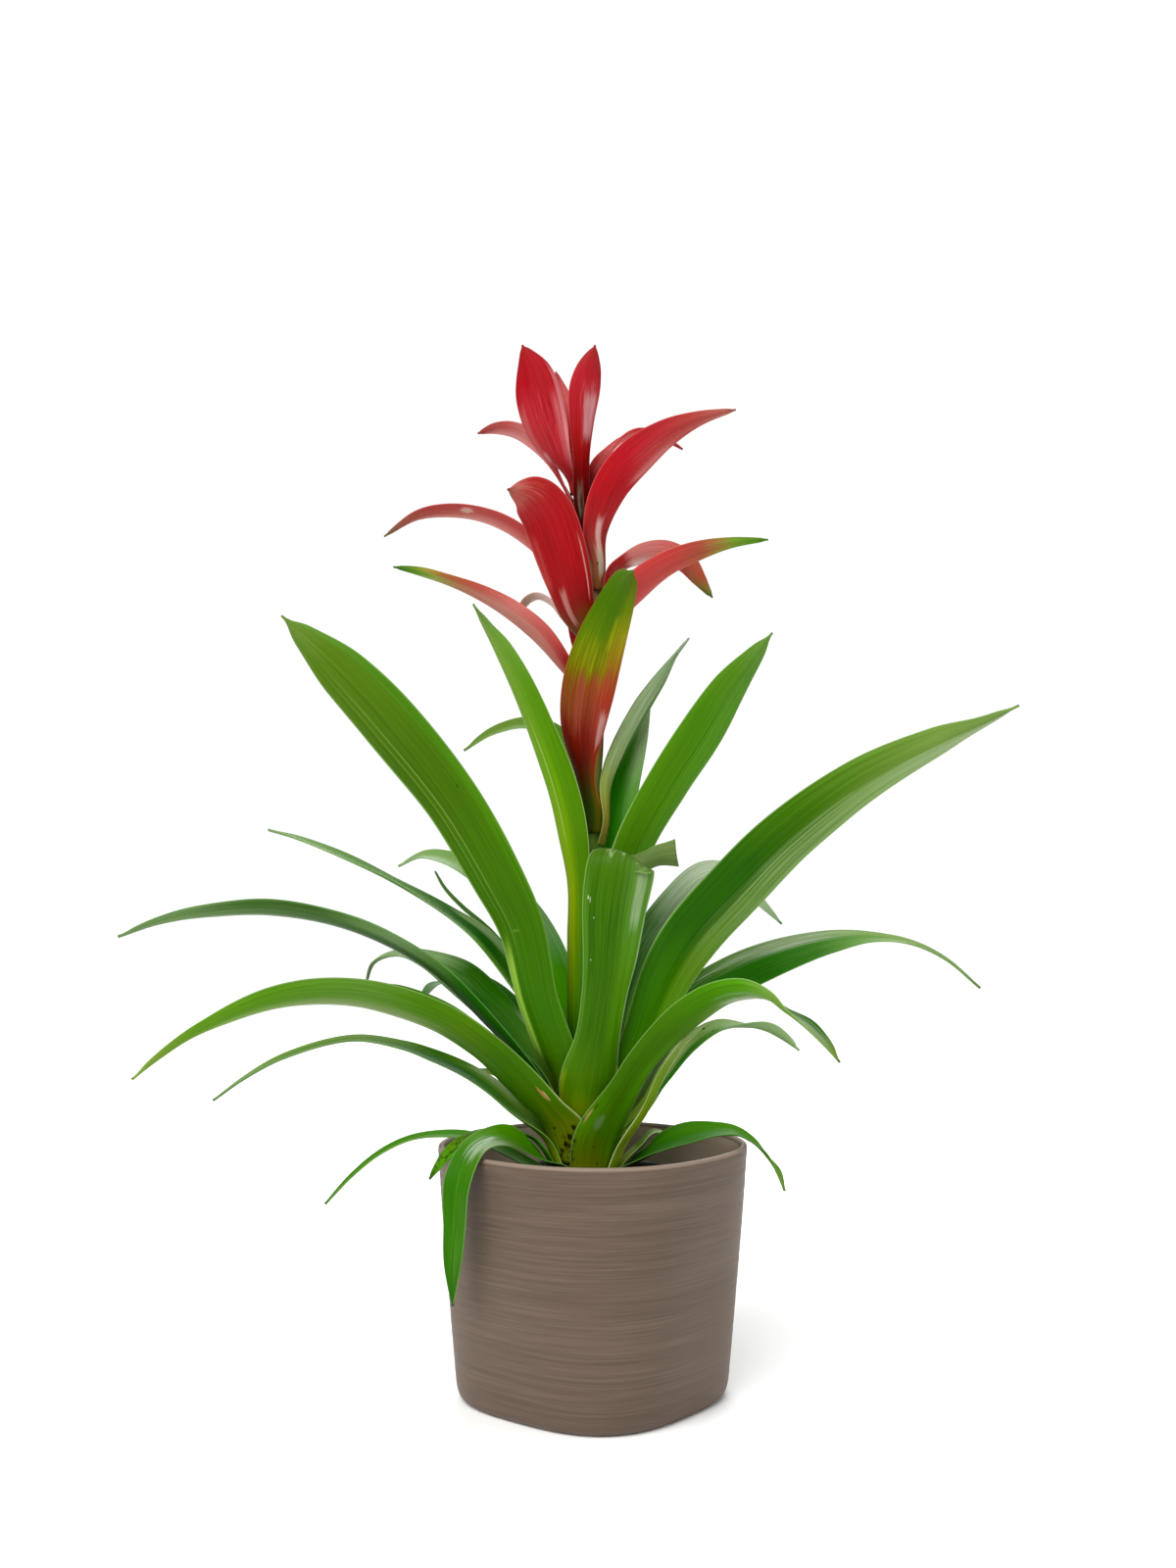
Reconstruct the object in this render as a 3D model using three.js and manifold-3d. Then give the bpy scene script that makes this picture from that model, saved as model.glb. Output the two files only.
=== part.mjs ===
// A guzmania bromeliad in a soft square planter, one solid for each leaf, bract and vessel.
// Millimetres, Z up. The middle of the planter's foot is the origin and -Y is the front.
import * as THREE from 'three';
import { mergeVertices } from 'three/addons/utils/BufferGeometryUtils.js';
import Module from 'manifold-3d';

const wasm = await Module();
wasm.setup();

const GAP = 0.3; // air left between neighbouring solids

// Planter: nearly round at the rim, squarer at the foot, and turned a few degrees from having its
// corners on the X and Y axes.
const PLANTER = {
  height: 122.5,
  rim: 75, // from the axis to a corner
  foot: 66.3,
  footRound: 6,
  turn: 6,
  wall: 3.7,
  floor: 5,
  rimPower: 2.3,
  footPower: 2.9,
  turns: 64,
};

// Nursery pot standing inside the planter.
const NURSERY = { foot: 43, rim: 54.6, top: 105, wall: 1.3, flange: 2.8, turns: 36 };

// Growing medium in the nursery pot, nearly level round the stem.
const MIX = { top: 96, lump: 1.3, rings: 4, turns: 32, holeTurns: 28 };

// Stem radius at a height: thick where the leaves grow from it, slender under the flower.
const STEM_PROFILE = [
  [62, 14.4], [98, 14.4], [104, 13.8], [112, 12.6], [124, 10.8], [138, 8.9], [152, 7.4],
  [175, 6.2], [220, 5.3], [280, 4.6], [340, 4.1], [400, 3.6], [436, 3.2], [446, 2.2],
];
// Sideways place of the stem's middle at a height.
const STEM_LEAN = [
  [62, -4], [125, -4], [160, -2.8], [210, -1], [270, -0.6],
  [330, 0.4], [385, 1.2], [400, 0.2], [425, -4.6], [446, -7.4],
];
const STEM_TURNS = 14;

// Flower buds crowded at the top of the stem: lean direction, lean, length and radius.
const BUDS = [
  [0, 2, 17, 2.6], [20, 16, 13, 2.2], [95, 18, 12, 2.2], [165, 17, 13, 2.1], [235, 16, 12, 2.2], [300, 19, 11, 2.1],
];

// Blade thickness along the middle and at the margins.
const LEAF_THICK = [1.15, 0.64];
const BRACT_THICK = [0.95, 0.64];

// Each leaf: azimuth of its sheath, height it grows from, sheath [radius, height, width],
// arc the blade is cupped through, and the blade's rows of [x, y, z, width, twist].
const LEAVES = {
  // the three broad blades in front
  leaf_01: {
    azimuth: -90, attach: 126.5, sheath: [16.4, 143, 29], cup: 60, colour: 0x3f7a1b,
    blade: [
      [-1.8, -20.5, 156, 28, 0], [2, -25, 174, 22, 0], [5, -31, 194, 22, 0], [7.6, -37, 212, 26, 0],
      [10, -43, 238, 31.5, 0], [12.2, -45, 252, 33, 0], [13.2, -44, 258.5, 32, 0],
      [14.2, -41, 261.2, 30, 0], [16, -37.5, 260, 24, 8], [20, -34.5, 257.5, 14, 38],
      [25, -34, 258.6, 9, 75], [30, -34.5, 260.6, 10, 88], [34.5, -35.5, 261.2, 11.5, 90],
      [38.5, -36.5, 261.6, 13.5, 90],
    ],
  },
  leaf_02: {
    azimuth: -149, attach: 131, sheath: [13.4, 148, 26], cup: 55, colour: 0x477d1e,
    blade: [
      [-19, -14, 168, 22, 36], [-27, -21, 193, 21, 46], [-34, -30, 226, 23, 50],
      [-44, -38, 248, 26, 52], [-64.5, -48, 284, 28, 52], [-91.8, -60, 319, 29, 52],
      [-112.5, -68, 341.6, 24, 52], [-127.5, -73, 356.2, 12, 52], [-137, -75, 365.5, 1.5, 52],
    ],
  },
  leaf_05: {
    azimuth: -32, attach: 131, sheath: [14.4, 147, 24], cup: 50, colour: 0x46821e,
    blade: [
      [19, -12, 163, 20, -36], [25.5, -16, 179, 21, -46], [34.7, -25, 203, 26, -50],
      [45, -34, 221, 29, -52], [63, -46, 242.3, 29.5, -52], [86.5, -58, 267.3, 27.5, -54],
      [119.2, -72, 293, 22, -54], [150.5, -84, 309.6, 14, -50], [167.5, -90, 317, 6.5, -35],
      [182, -94, 324, 1.3, -35],
    ],
  },
  // upright inner blades round the stem
  leaf_03: {
    azimuth: -118, attach: 147, sheath: [10.2, 166, 16], cup: 80, colour: 0x76a61e,
    blade: [
      [-7.5, -11.5, 200, 15, 0], [-8, -12, 222, 13, 0], [-8, -13, 248, 13, 0],
      [-11, -15, 272, 17.5, 0], [-16.5, -17, 295, 18, 0], [-25.5, -19, 320, 16, 0],
      [-34.5, -21, 341, 14, 0], [-43.6, -23, 359, 10, 0], [-50.5, -24, 369.5, 5, 0],
      [-56.3, -25, 379, 1.3, 0],
    ],
  },
  leaf_04: {
    azimuth: -26, attach: 143, sheath: [11.4, 162, 16], cup: 50, colour: 0x4c8c1c,
    blade: [
      [7, -8, 201, 18, -15], [11.2, -10, 234, 19.5, -28], [20.5, -12, 266, 21.5, -38],
      [36.1, -16, 294.3, 23, -42], [50.7, -20, 316.9, 23.5, -42], [64.7, -24, 339.6, 18.5, -42],
      [75.6, -27, 354.2, 10, -42], [83.7, -29, 365, 1.4, -42],
    ],
  },
  leaf_15: {
    azimuth: -8, attach: 266, sheath: [8, 278, 11.4], cup: 95, colour: 0x8fa877,
    blade: [
      [7.8, -1, 295.7, 12, -20], [14.5, 0, 314.7, 11, -50], [23.4, 0, 331.6, 10.5, -55],
      [32.4, 0, 346, 7.5, -55], [39.6, 1, 357.6, 2.6, -55], [46.6, 2, 367, 0.9, -55],
    ],
  },
  leaf_16: {
    azimuth: 36, attach: 148.5, sheath: [9.2, 170, 11], cup: 70, colour: 0x1d5a17,
    blade: [
      [6.5, 7, 215, 13, 15], [8.2, 8, 248, 17, 30], [11, 10, 272, 18, 38], [15.4, 12, 297, 18, 38],
      [21.8, 14, 321, 13, 38], [28.6, 15, 341, 1.4, 38],
    ],
  },
  // arching leaves on the left
  leaf_06: {
    azimuth: -174, attach: 122.5, sheath: [17, 139, 20], cup: 60, colour: 0x2f6f20,
    blade: [
      [-27, -8.5, 154, 20, 5], [-49, -16, 179.5, 21.5, 20], [-76.5, -21, 206.8, 24, 22],
      [-112, -28, 226.2, 24, 25], [-148, -34, 234.2, 22.5, 29], [-183, -39, 232.8, 17, 28],
      [-201, -41, 229.3, 11, 22], [-218, -43, 223.5, 2.5, 14],
    ],
  },
  leaf_07: {
    azimuth: -143, attach: 113.5, sheath: [20.6, 131, 39], cup: 60, colour: 0x46821a,
    blade: [
      [-26, -17, 141.5, 28, 12], [-38, -20, 155.6, 24, 20], [-52, -23.5, 169.3, 22, 22],
      [-75, -29, 184, 24.5, 20], [-111, -38, 195, 24, 19], [-145, -47, 193.6, 20, 20],
      [-179, -55, 180.4, 10.5, 16], [-196, -58, 169, 6, 12], [-207, -60, 160, 1.3, 10],
    ],
  },
  leaf_08: {
    azimuth: 164, attach: 126.5, sheath: [15.8, 145, 19], cup: 55, colour: 0x1f5c1c,
    blade: [
      [-25, 8, 160, 19, -15], [-37, 12, 172.5, 21, -30], [-52, 14, 187.5, 24, -35],
      [-67, 16, 200.6, 24, -35], [-83, 19, 209, 17, -25], [-96, 20, 212.5, 10, -15],
      [-108.5, 20, 208.5, 7, 0], [-113, 20, 198, 1.3, 0],
    ],
  },
  leaf_09: {
    azimuth: 176, attach: 109.5, sheath: [19.8, 124, 26], cup: 70, colour: 0x2f6f1c,
    blade: [
      [-39.5, -1, 138.5, 22, -10], [-52, -2.5, 149.3, 18.5, -12], [-64, -4, 157.3, 15, -15],
      [-78, -5, 163.7, 13, -14], [-92, -5.5, 168.8, 11, -10], [-116, -6, 172.5, 9, -5],
      [-148, -8, 164.2, 8, -5], [-167, -9, 154.4, 5, 0], [-182, -10, 144, 1.2, 0],
    ],
  },
  leaf_10: {
    azimuth: 184, attach: 118.5, sheath: [17.2, 132, 14], cup: 60, colour: 0x6fa81c,
    blade: [
      [-31, 1, 149, 14, 0], [-42, 1.5, 161, 14, -15], [-54.5, 1, 172.5, 14, -28],
      [-69, -2, 184, 13, -30], [-83, -5, 191.5, 11, -30], [-95, -6, 196.5, 7, -30],
      [-104, -6, 199, 1.5, -30],
    ],
  },
  leaf_11: {
    azimuth: 162, attach: 135, sheath: [12.8, 152, 20], cup: 70, colour: 0x3c6e22,
    blade: [
      [-27, 6, 180, 20, -5], [-40.6, 9, 202, 19, -12], [-55, 12, 220, 17, -15],
      [-72.4, 16, 233, 13, -10], [-100, 22, 249, 9, 0], [-125, 27, 261, 8, -10],
      [-147.5, 31, 270, 5, -10], [-164, 34, 275, 1.2, 0],
    ],
  },
  leaf_12: {
    azimuth: 120, attach: 131, sheath: [14.6, 148, 6], cup: 60, colour: 0x5d7a45,
    blade: [
      [-24, 27, 182, 4.5, 0], [-38, 29, 206, 3.6, 0], [-52, 31, 224, 2.8, 0], [-66, 34, 236, 2.2, 0],
      [-75.5, 37, 246, 1.6, 0], [-80, 38, 254, 1, 0],
    ],
  },
  leaf_13: {
    azimuth: 120, attach: 143, sheath: [11.8, 161, 18], cup: 60, colour: 0x285f22,
    blade: [
      [-15, 14, 186, 19, 0], [-23, 23, 212, 21, 0], [-38, 32, 235, 21, 0], [-58, 44, 252, 18, 0],
      [-75, 54, 260, 13, 0], [-89, 62, 262, 10, 0], [-102, 68, 257, 3.5, 0],
    ],
  },
  leaf_14: {
    azimuth: 114, attach: 152, sheath: [8.8, 176, 11], cup: 60, colour: 0x3f7a2c,
    blade: [
      [-4, 16, 224, 14, 0], [-4, 22, 268, 16, 0], [-8.3, 31, 303, 16, 0], [-18, 38, 322, 13, 0],
      [-33, 44, 329, 11, 0], [-51, 49, 325.5, 9.5, 0], [-66.5, 53, 316.5, 3, 0],
    ],
  },
  // arching leaves on the right
  leaf_17: {
    azimuth: 4, attach: 135, sheath: [13, 152, 20], cup: 45, colour: 0x5a7a5c,
    blade: [
      [17, 3, 190, 22, 25], [27, 4, 216, 22.5, 50], [42, 6, 236.5, 22.5, 55], [56, 7, 250, 20.5, 52],
      [68, 8, 251, 15, 45], [80, 8, 240, 9, 40], [92.5, 8, 228, 1.3, 40],
    ],
  },
  leaf_18: {
    azimuth: 39, attach: 118.5, sheath: [17.5, 136, 15], cup: 60, colour: 0x2a6420,
    blade: [
      [28, 13, 167, 20, 15], [46, 18, 186, 23, 26], [68.6, 26, 199.5, 23, 33],
      [91.5, 34, 209.3, 20, 38], [122.6, 44, 217.5, 14, 30], [143.6, 49, 219.5, 9, 14],
      [165, 53, 216.6, 7, 0], [184, 57, 208, 5, 0], [202, 60, 193.4, 1.2, 0],
    ],
  },
  leaf_19: {
    azimuth: -68, attach: 109.5, sheath: [20.4, 127.5, 26], cup: 70, colour: 0x46821e,
    blade: [
      [15.5, -27, 150.5, 18.5, 0], [23.5, -31, 163.5, 18.5, 3], [34, -36, 176.5, 19, -2],
      [45, -42, 187.5, 19, -7], [57.7, -49, 195.8, 18, -5], [69.3, -54, 198.3, 15.5, -3],
      [79, -58, 196, 12, 12], [86.2, -60, 190.5, 9, 32], [96, -62, 183.5, 11, 54],
      [104, -63, 175.5, 8, 56], [110, -64, 168, 1.2, 56],
    ],
  },
  leaf_20: {
    azimuth: -3, attach: 114.5, sheath: [17, 126, 14], cup: 75, colour: 0x1f5c18,
    blade: [
      [27, -4, 141.5, 13.5, 16], [36.5, -8, 156.5, 14, 31], [47, -12, 170, 14.5, 31],
      [60, -15, 178.6, 13, 18], [72, -17, 180, 9, -12], [83.3, -19, 178.5, 9, -47],
      [91, -20, 174, 7, -47], [97.4, -21, 169, 1.2, -47],
    ],
  },
  leaf_27: {
    azimuth: -30, attach: 106.5, sheath: [20, 120, 10], cup: 80, colour: 0x7fa63a,
    blade: [
      [25, -20, 140, 6.5, -10], [34, -26, 160, 5.5, -20], [43, -31, 174, 3.8, -20],
      [52, -36, 183, 1.3, -20],
    ],
  },
  // short leaves leaning over the rim
  leaf_21: {
    azimuth: -20, attach: 98.5, sheath: [20, 109, 22], cup: 55, colour: 0x3a7d12,
    blade: [
      [26, -13, 118, 18, 10], [35, -14.5, 124, 17, 30], [45.7, -14, 127.8, 16, 40],
      [58.3, -13, 129.2, 14, 32], [68.5, -12, 128.4, 12, 25], [77.5, -11, 123.4, 9, 20],
      [84, -10, 116.5, 4, 10], [88.7, -9, 109, 5, 45], [92.1, -8, 100.3, 1.2, 45],
    ],
  },
  leaf_22: {
    azimuth: -144, attach: 101.5, sheath: [18.8, 112, 20], cup: 50, colour: 0x3a7d14,
    blade: [
      [-29, -20.5, 121, 17.5, -25], [-37.5, -27.5, 127.5, 17.5, -34], [-46.5, -36.5, 129, 15.5, -18],
      [-54.5, -45.5, 125.5, 16, 0], [-60.5, -52.5, 113, 16, 0], [-62, -53, 92.5, 13.5, 0],
      [-63.5, -51, 74.5, 10, 0], [-64, -49, 55.5, 1.4, 0],
    ],
  },
  leaf_23: {
    azimuth: 174, attach: 97.5, sheath: [20, 106, 12], cup: 50, colour: 0x3f7d20,
    blade: [
      [-30, -3, 111, 11, 0], [-40, -6, 117.2, 11, 0], [-49.3, -9, 122.5, 10, 0],
      [-58.6, -11, 126.3, 9, 0], [-70, -13, 128, 7, 0], [-86.2, -15, 126.5, 5, 0],
      [-100.6, -16, 120, 4.5, 0], [-114, -17, 109.5, 3.5, 0], [-127, -18, 96, 1.2, 0],
    ],
  },
  leaf_24: {
    azimuth: -165, attach: 105.5, sheath: [18.7, 116, 12], cup: 45, colour: 0x3f8418,
    blade: [
      [-30, -5.5, 125.5, 8, 0], [-41.5, -12.5, 129, 9, 0], [-53.5, -27, 130, 9, 0],
      [-62, -36.5, 126.5, 9, 0], [-68, -41.5, 121.5, 7, 0], [-75, -45, 112.5, 1.6, 0],
    ],
  },
  leaf_26: {
    azimuth: 130, attach: 114.5, sheath: [17.6, 127, 9], cup: 50, colour: 0x5f9a2c,
    blade: [[-36, 19.5, 147, 6, 0], [-48.3, 19, 153.7, 4.5, 0], [-59, 19, 155.4, 1.3, 0]],
  },
  leaf_28: {
    azimuth: 6, attach: 102.5, sheath: [19, 112, 12], cup: 60, colour: 0x6f8f5c,
    blade: [[24, 1, 121, 10, 0], [29, 1, 126.5, 8, 0], [35, 1, 127, 1.5, 0]],
  },
  // leaves at the back
  leaf_29: {
    azimuth: 60, attach: 110.5, sheath: [19, 130, 22], cup: 60, colour: 0x357420,
    blade: [
      [18, 30, 158, 23, 0], [34, 54, 188, 25, 0], [52, 84, 211, 24, 0], [66, 112, 222, 15, 0],
      [76, 138, 223, 1.3, 0],
    ],
  },
  leaf_30: {
    azimuth: 84, attach: 122.5, sheath: [17.2, 141, 22], cup: 55, colour: 0x3c7c20,
    blade: [
      [2, 28, 176, 23, 0], [8, 48, 212, 26, 0], [14, 78, 238, 26, 0], [18, 116, 250, 21, 0],
      [20, 152, 246, 12, 0], [21, 176, 232, 1.3, 0],
    ],
  },
  leaf_31: {
    azimuth: 113, attach: 118.5, sheath: [17.5, 135, 17], cup: 60, colour: 0x357420,
    blade: [
      [-22, 29, 154, 21, 0], [-42, 48, 177, 24, 0], [-64, 76, 193, 21, 0], [-84, 104, 193, 14, 0],
      [-98, 126, 180, 1.3, 0],
    ],
  },
  leaf_32: {
    azimuth: 42, attach: 106.5, sheath: [20, 121, 20], cup: 60, colour: 0x357420,
    blade: [
      [26, 21, 140, 20, 0], [38, 36, 161, 21, 0], [50, 54, 179, 17, 0], [58, 73, 189, 10, 0],
      [64, 90, 191, 1.3, 0],
    ],
  },
  leaf_25: {
    azimuth: 104, attach: 101.5, sheath: [21, 117, 20], cup: 60, colour: 0x3c7c20,
    blade: [
      [-10, 34, 134, 21, 0], [-14, 54, 150, 22, 0], [-20, 80, 158, 18, 0], [-25, 104, 152, 11, 0],
      [-29, 122, 138, 1.3, 0],
    ],
  },
};

// The bracts are laid out the same way; they grow from the slender stem above the leaves.
const BRACTS = {
  bract_01: {
    azimuth: -165, attach: 436, sheath: [4.8, 442, 8], cup: 75, colour: 0xb21f2a,
    blade: [
      [-16.8, -7.2, 451, 14.6, 35], [-22.8, -9, 464.5, 23, 52], [-27.4, -10, 480.6, 25.5, 55],
      [-30, -10.5, 493.3, 19.5, 55], [-33.8, -11, 505.2, 1.5, 55],
    ],
  },
  bract_02: {
    azimuth: -85, attach: 418, sheath: [5.6, 432, 9], cup: 80, colour: 0xb21f2a,
    blade: [
      [-5, -8.6, 452, 9.4, 20], [-4.6, -9, 470, 13.5, 15], [-3.4, -11, 484, 16.5, 10],
      [-1.2, -12, 495, 12.5, 10], [1, -13, 504.5, 1.4, 10],
    ],
  },
  bract_03: {
    azimuth: 104, attach: 439, sheath: [4.4, 445, 5], cup: 60, colour: 0xc04a52,
    blade: [[-11.5, 6, 462.8, 9, 0], [-13.4, 6.5, 480, 10, 0], [-18.2, 7, 498, 1.4, 0]],
  },
  bract_04: {
    azimuth: 168, attach: 428, sheath: [6.4, 436, 8], cup: 60, colour: 0xb23038,
    blade: [
      [-19.5, 6.8, 450, 11, 15], [-28.7, 8, 462.8, 12, 40], [-38.3, 9, 469.3, 10, 45],
      [-47.4, 9, 470.5, 7, 45], [-56.5, 9, 468.4, 1.3, 45],
    ],
  },
  bract_05: {
    azimuth: -50, attach: 389, sheath: [6, 401, 10], cup: 60, colour: 0xb8242e,
    blade: [
      [2.2, -9, 417, 15, -8], [8.8, -13, 436.4, 18.5, -24], [20.4, -17, 449.8, 19, -28],
      [34.6, -21, 459.9, 14, -28], [49.2, -24, 466, 7.5, -28], [66.9, -27, 469.7, 1.2, -28],
    ],
  },
  bract_06: {
    azimuth: 45, attach: 420, sheath: [5.6, 430, 8], cup: 60, colour: 0xb52832,
    blade: [
      [2.8, 6, 449.4, 12, 5], [9.4, 8, 460, 15.5, -20], [18.4, 9, 467, 16, -28],
      [28, 11, 468, 12.5, -30], [37, 12, 465, 7, -28], [44.3, 13, 461.8, 1.3, -28],
    ],
  },
  bract_07: {
    azimuth: -108, attach: 354, sheath: [6.8, 364, 12], cup: 80, colour: 0xb01e26,
    blade: [
      [-8.6, -9.5, 379, 20, 3], [-12.5, -14, 393.3, 25, 10], [-17, -18, 408.9, 27.5, 14],
      [-22, -23, 421.5, 27, 15], [-29.5, -29, 428.5, 21, 15], [-39.8, -34, 430.8, 1.6, 15],
    ],
  },
  bract_08: {
    azimuth: 172, attach: 368, sheath: [6.3, 376, 7], cup: 60, colour: 0xb52c36,
    blade: [
      [-12, 0, 390, 12, 10], [-24, -1, 406, 14, 30], [-40, -3, 419, 13, 38],
      [-54.1, -4, 424.8, 11, 42], [-70.5, -5, 426.5, 10, 42], [-84.5, -6, 424.3, 7, 42],
      [-100.4, -7, 414.5, 1.3, 42],
    ],
  },
  bract_09: {
    azimuth: -162, attach: 330, sheath: [6.6, 339, 12], cup: 60, colour: 0xb8303a,
    blade: [
      [-14, -4, 352, 13, 15], [-25.9, -8, 367.4, 13, 35], [-39.8, -11, 378.4, 11.5, 42],
      [-53.7, -13, 386, 9, 42], [-67.6, -15, 391.4, 6.5, 42], [-81.5, -16, 395.6, 5, 42],
      [-94.8, -17, 398, 1.2, 42],
    ],
  },
  bract_10: {
    azimuth: -18, attach: 345, sheath: [6.6, 354, 13], cup: 60, colour: 0xbf3a40,
    blade: [
      [10.8, -7, 375, 16, -20], [21, -9, 389, 17, -38], [35, -11, 399.6, 14, -42],
      [49.9, -13, 405.8, 11, -42], [65.2, -14, 409.7, 6, -42], [83.3, -15, 411.4, 1.2, -42],
    ],
  },
  bract_11: {
    azimuth: -20, attach: 377, sheath: [6.6, 388, 9], cup: 60, colour: 0xb8303a,
    blade: [
      [9, 0, 397.5, 9, 0], [15, 4, 403.5, 9, -5], [25, 9, 409, 11.5, -15], [36, 11, 410, 12.5, -20],
      [45.5, 12, 406, 11, -28], [52.2, 13, 398, 7.5, -28], [59, 14, 388.7, 1.3, -28],
    ],
  },
  bract_12: {
    azimuth: 140, attach: 360, sheath: [5.9, 367, 8], cup: 50, colour: 0xc98a86,
    blade: [
      [-14.4, 8, 377, 10, 20], [-20.6, 11, 385, 10, 35], [-27.8, 13, 388.5, 9, 35],
      [-33.6, 14, 385, 8, 35], [-35, 14, 379, 1.5, 35],
    ],
  },
  bract_13: {
    azimuth: -96, attach: 272, sheath: [6.6, 283, 10], cup: 100, colour: 0x8c3a1e,
    blade: [
      [-3.8, -9.5, 299, 10.5, 0], [-5.2, -14, 321, 23.5, 0], [-2.5, -17, 341.6, 29, 0],
      [2.6, -20, 360, 27, 0], [9.6, -25, 377.5, 21, 0], [15, -30, 389, 14, 0], [18.6, -34, 393, 3, 0],
    ],
  },
  // bracts at the back
  bract_14: {
    azimuth: 100, attach: 300, sheath: [6.8, 311, 13], cup: 80, colour: 0x96351f,
    blade: [[-3, 15, 330, 18, 0], [-3, 22, 350, 19, 0], [-2, 33, 366, 13, 0], [-2, 44, 370, 1.5, 0]],
  },
  bract_15: {
    azimuth: 108, attach: 338, sheath: [6.8, 348, 13], cup: 70, colour: 0xb02028,
    blade: [
      [-4, 15, 366, 17, 0], [-7, 25, 384, 17, 0], [-11, 39, 395, 13, 0], [-15, 54, 397, 7, 0],
      [-18, 66, 394, 1.3, 0],
    ],
  },
  bract_16: {
    azimuth: 96, attach: 384, sheath: [6.2, 394, 8], cup: 70, colour: 0xb02028,
    blade: [[-2, 13, 411, 11, 0], [-4, 23, 425, 12, 0], [-5, 34, 433, 8, 0], [-6, 46, 435, 1.4, 0]],
  },
};

const rad = THREE.MathUtils.degToRad;

// Value of a table of [place, value] rows at a place, straight between the rows.
function lookUp(table, place) {
  const last = table.length - 1;
  if (place <= table[0][0]) return table[0][1];
  if (place >= table[last][0]) return table[last][1];
  const i = table.findIndex((row) => row[0] >= place);
  const [p0, v0] = table[i - 1];
  const [p1, v1] = table[i];
  return v0 + ((place - p0) / (p1 - p0)) * (v1 - v0);
}

const stemRadius = (z) => lookUp(STEM_PROFILE, z);
const stemX = (z) => lookUp(STEM_LEAN, z);

// A closed geometry with shared corners and no slivers of zero size.
function weld(geometry) {
  geometry.deleteAttribute('normal');
  geometry.deleteAttribute('uv');
  const welded = mergeVertices(geometry, 1e-5);
  const index = [];
  for (let i = 0; i < welded.index.count; i += 3) {
    const [a, b, c] = [0, 1, 2].map((k) => welded.index.getX(i + k));
    if (a !== b && b !== c && c !== a) index.push(a, b, c);
  }
  welded.setIndex(index);
  return welded;
}

// A turned solid about the Z axis from [radius, height] points that begin and end on the axis.
function turned(profile, turns) {
  const points = profile.map(([r, z]) => new THREE.Vector2(r, z));
  return weld(new THREE.LatheGeometry(points, turns).rotateX(Math.PI / 2));
}

function toManifold(geometry) {
  return new wasm.Manifold(new wasm.Mesh({
    numProp: 3,
    vertProperties: new Float32Array(geometry.attributes.position.array),
    triVerts: new Uint32Array(geometry.index.array),
  }));
}

function fromManifold(solid) {
  const mesh = solid.getMesh();
  const geometry = new THREE.BufferGeometry();
  geometry.setAttribute('position', new THREE.BufferAttribute(new Float32Array(mesh.vertProperties), 3));
  geometry.setIndex([...mesh.triVerts]);
  return geometry;
}

// Moves every corner of a geometry by a function of its place.
function reshape(geometry, move) {
  const place = geometry.attributes.position;
  const p = new THREE.Vector3();
  for (let i = 0; i < place.count; i += 1) {
    p.fromBufferAttribute(place, i);
    move(p);
    place.setXYZ(i, p.x, p.y, p.z);
  }
  return geometry;
}

// How far a soft square reaches in a direction: 1 at its corners and less on the flats.
function softSquare(angle, power) {
  const c = Math.abs(Math.cos(angle - Math.PI / 4));
  const s = Math.abs(Math.sin(angle - Math.PI / 4));
  return 2 ** (1 / power - 0.5) / (c ** power + s ** power) ** (1 / power);
}

function planter() {
  const { height: h, rim, foot, footRound: f, wall: w, floor, turn } = PLANTER;
  const side = [[11, foot], [44, foot + 2.8], [90, rim - 2.2], [116, rim - 0.5]];
  const profile = [
    [0, 0], [foot - 1.1 * f, 0], [foot - 0.62 * f, 0.9], [foot - 0.26 * f, 3.4], [foot - 0.08 * f, 7],
    ...side.map(([z, r]) => [r, z]),
    [rim - 0.3, h - 1.6], [rim - 0.8, h - 0.4], [rim - 1.9, h], [rim - 3, h - 0.5], [rim - 3.8, h - 2],
    ...side.map(([z, r]) => [r - w, z + 2]).reverse().slice(1),
    [foot - w - 1.4, floor + 3.2], [foot - w - 5, floor + 0.6], [foot - w - 9, floor], [0, floor],
  ];
  return reshape(turned(profile, PLANTER.turns), (p) => {
    const power = THREE.MathUtils.lerp(PLANTER.footPower, PLANTER.rimPower, p.z / h);
    const reach = softSquare(Math.atan2(p.y, p.x) - rad(turn), power);
    p.x *= reach;
    p.y *= reach;
  });
}

function nurseryPot() {
  const { foot, rim, top, wall: w, flange, turns } = NURSERY;
  const base = PLANTER.floor + GAP;
  return turned([
    [0, base], [foot - 1.4, base], [foot, base + 1.6], [rim - 0.4, top - 6.2],
    [rim + flange - 0.4, top - 5.4], [rim + flange, top - 0.6], [rim + flange - 0.7, top],
    [rim + 0.6, top], [rim - 0.9, top - 1.4], [rim - w - 0.4, top - 6],
    [foot - w, base + 2.2], [foot - w - 1, base + w], [0, base + w],
  ], turns);
}

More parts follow.
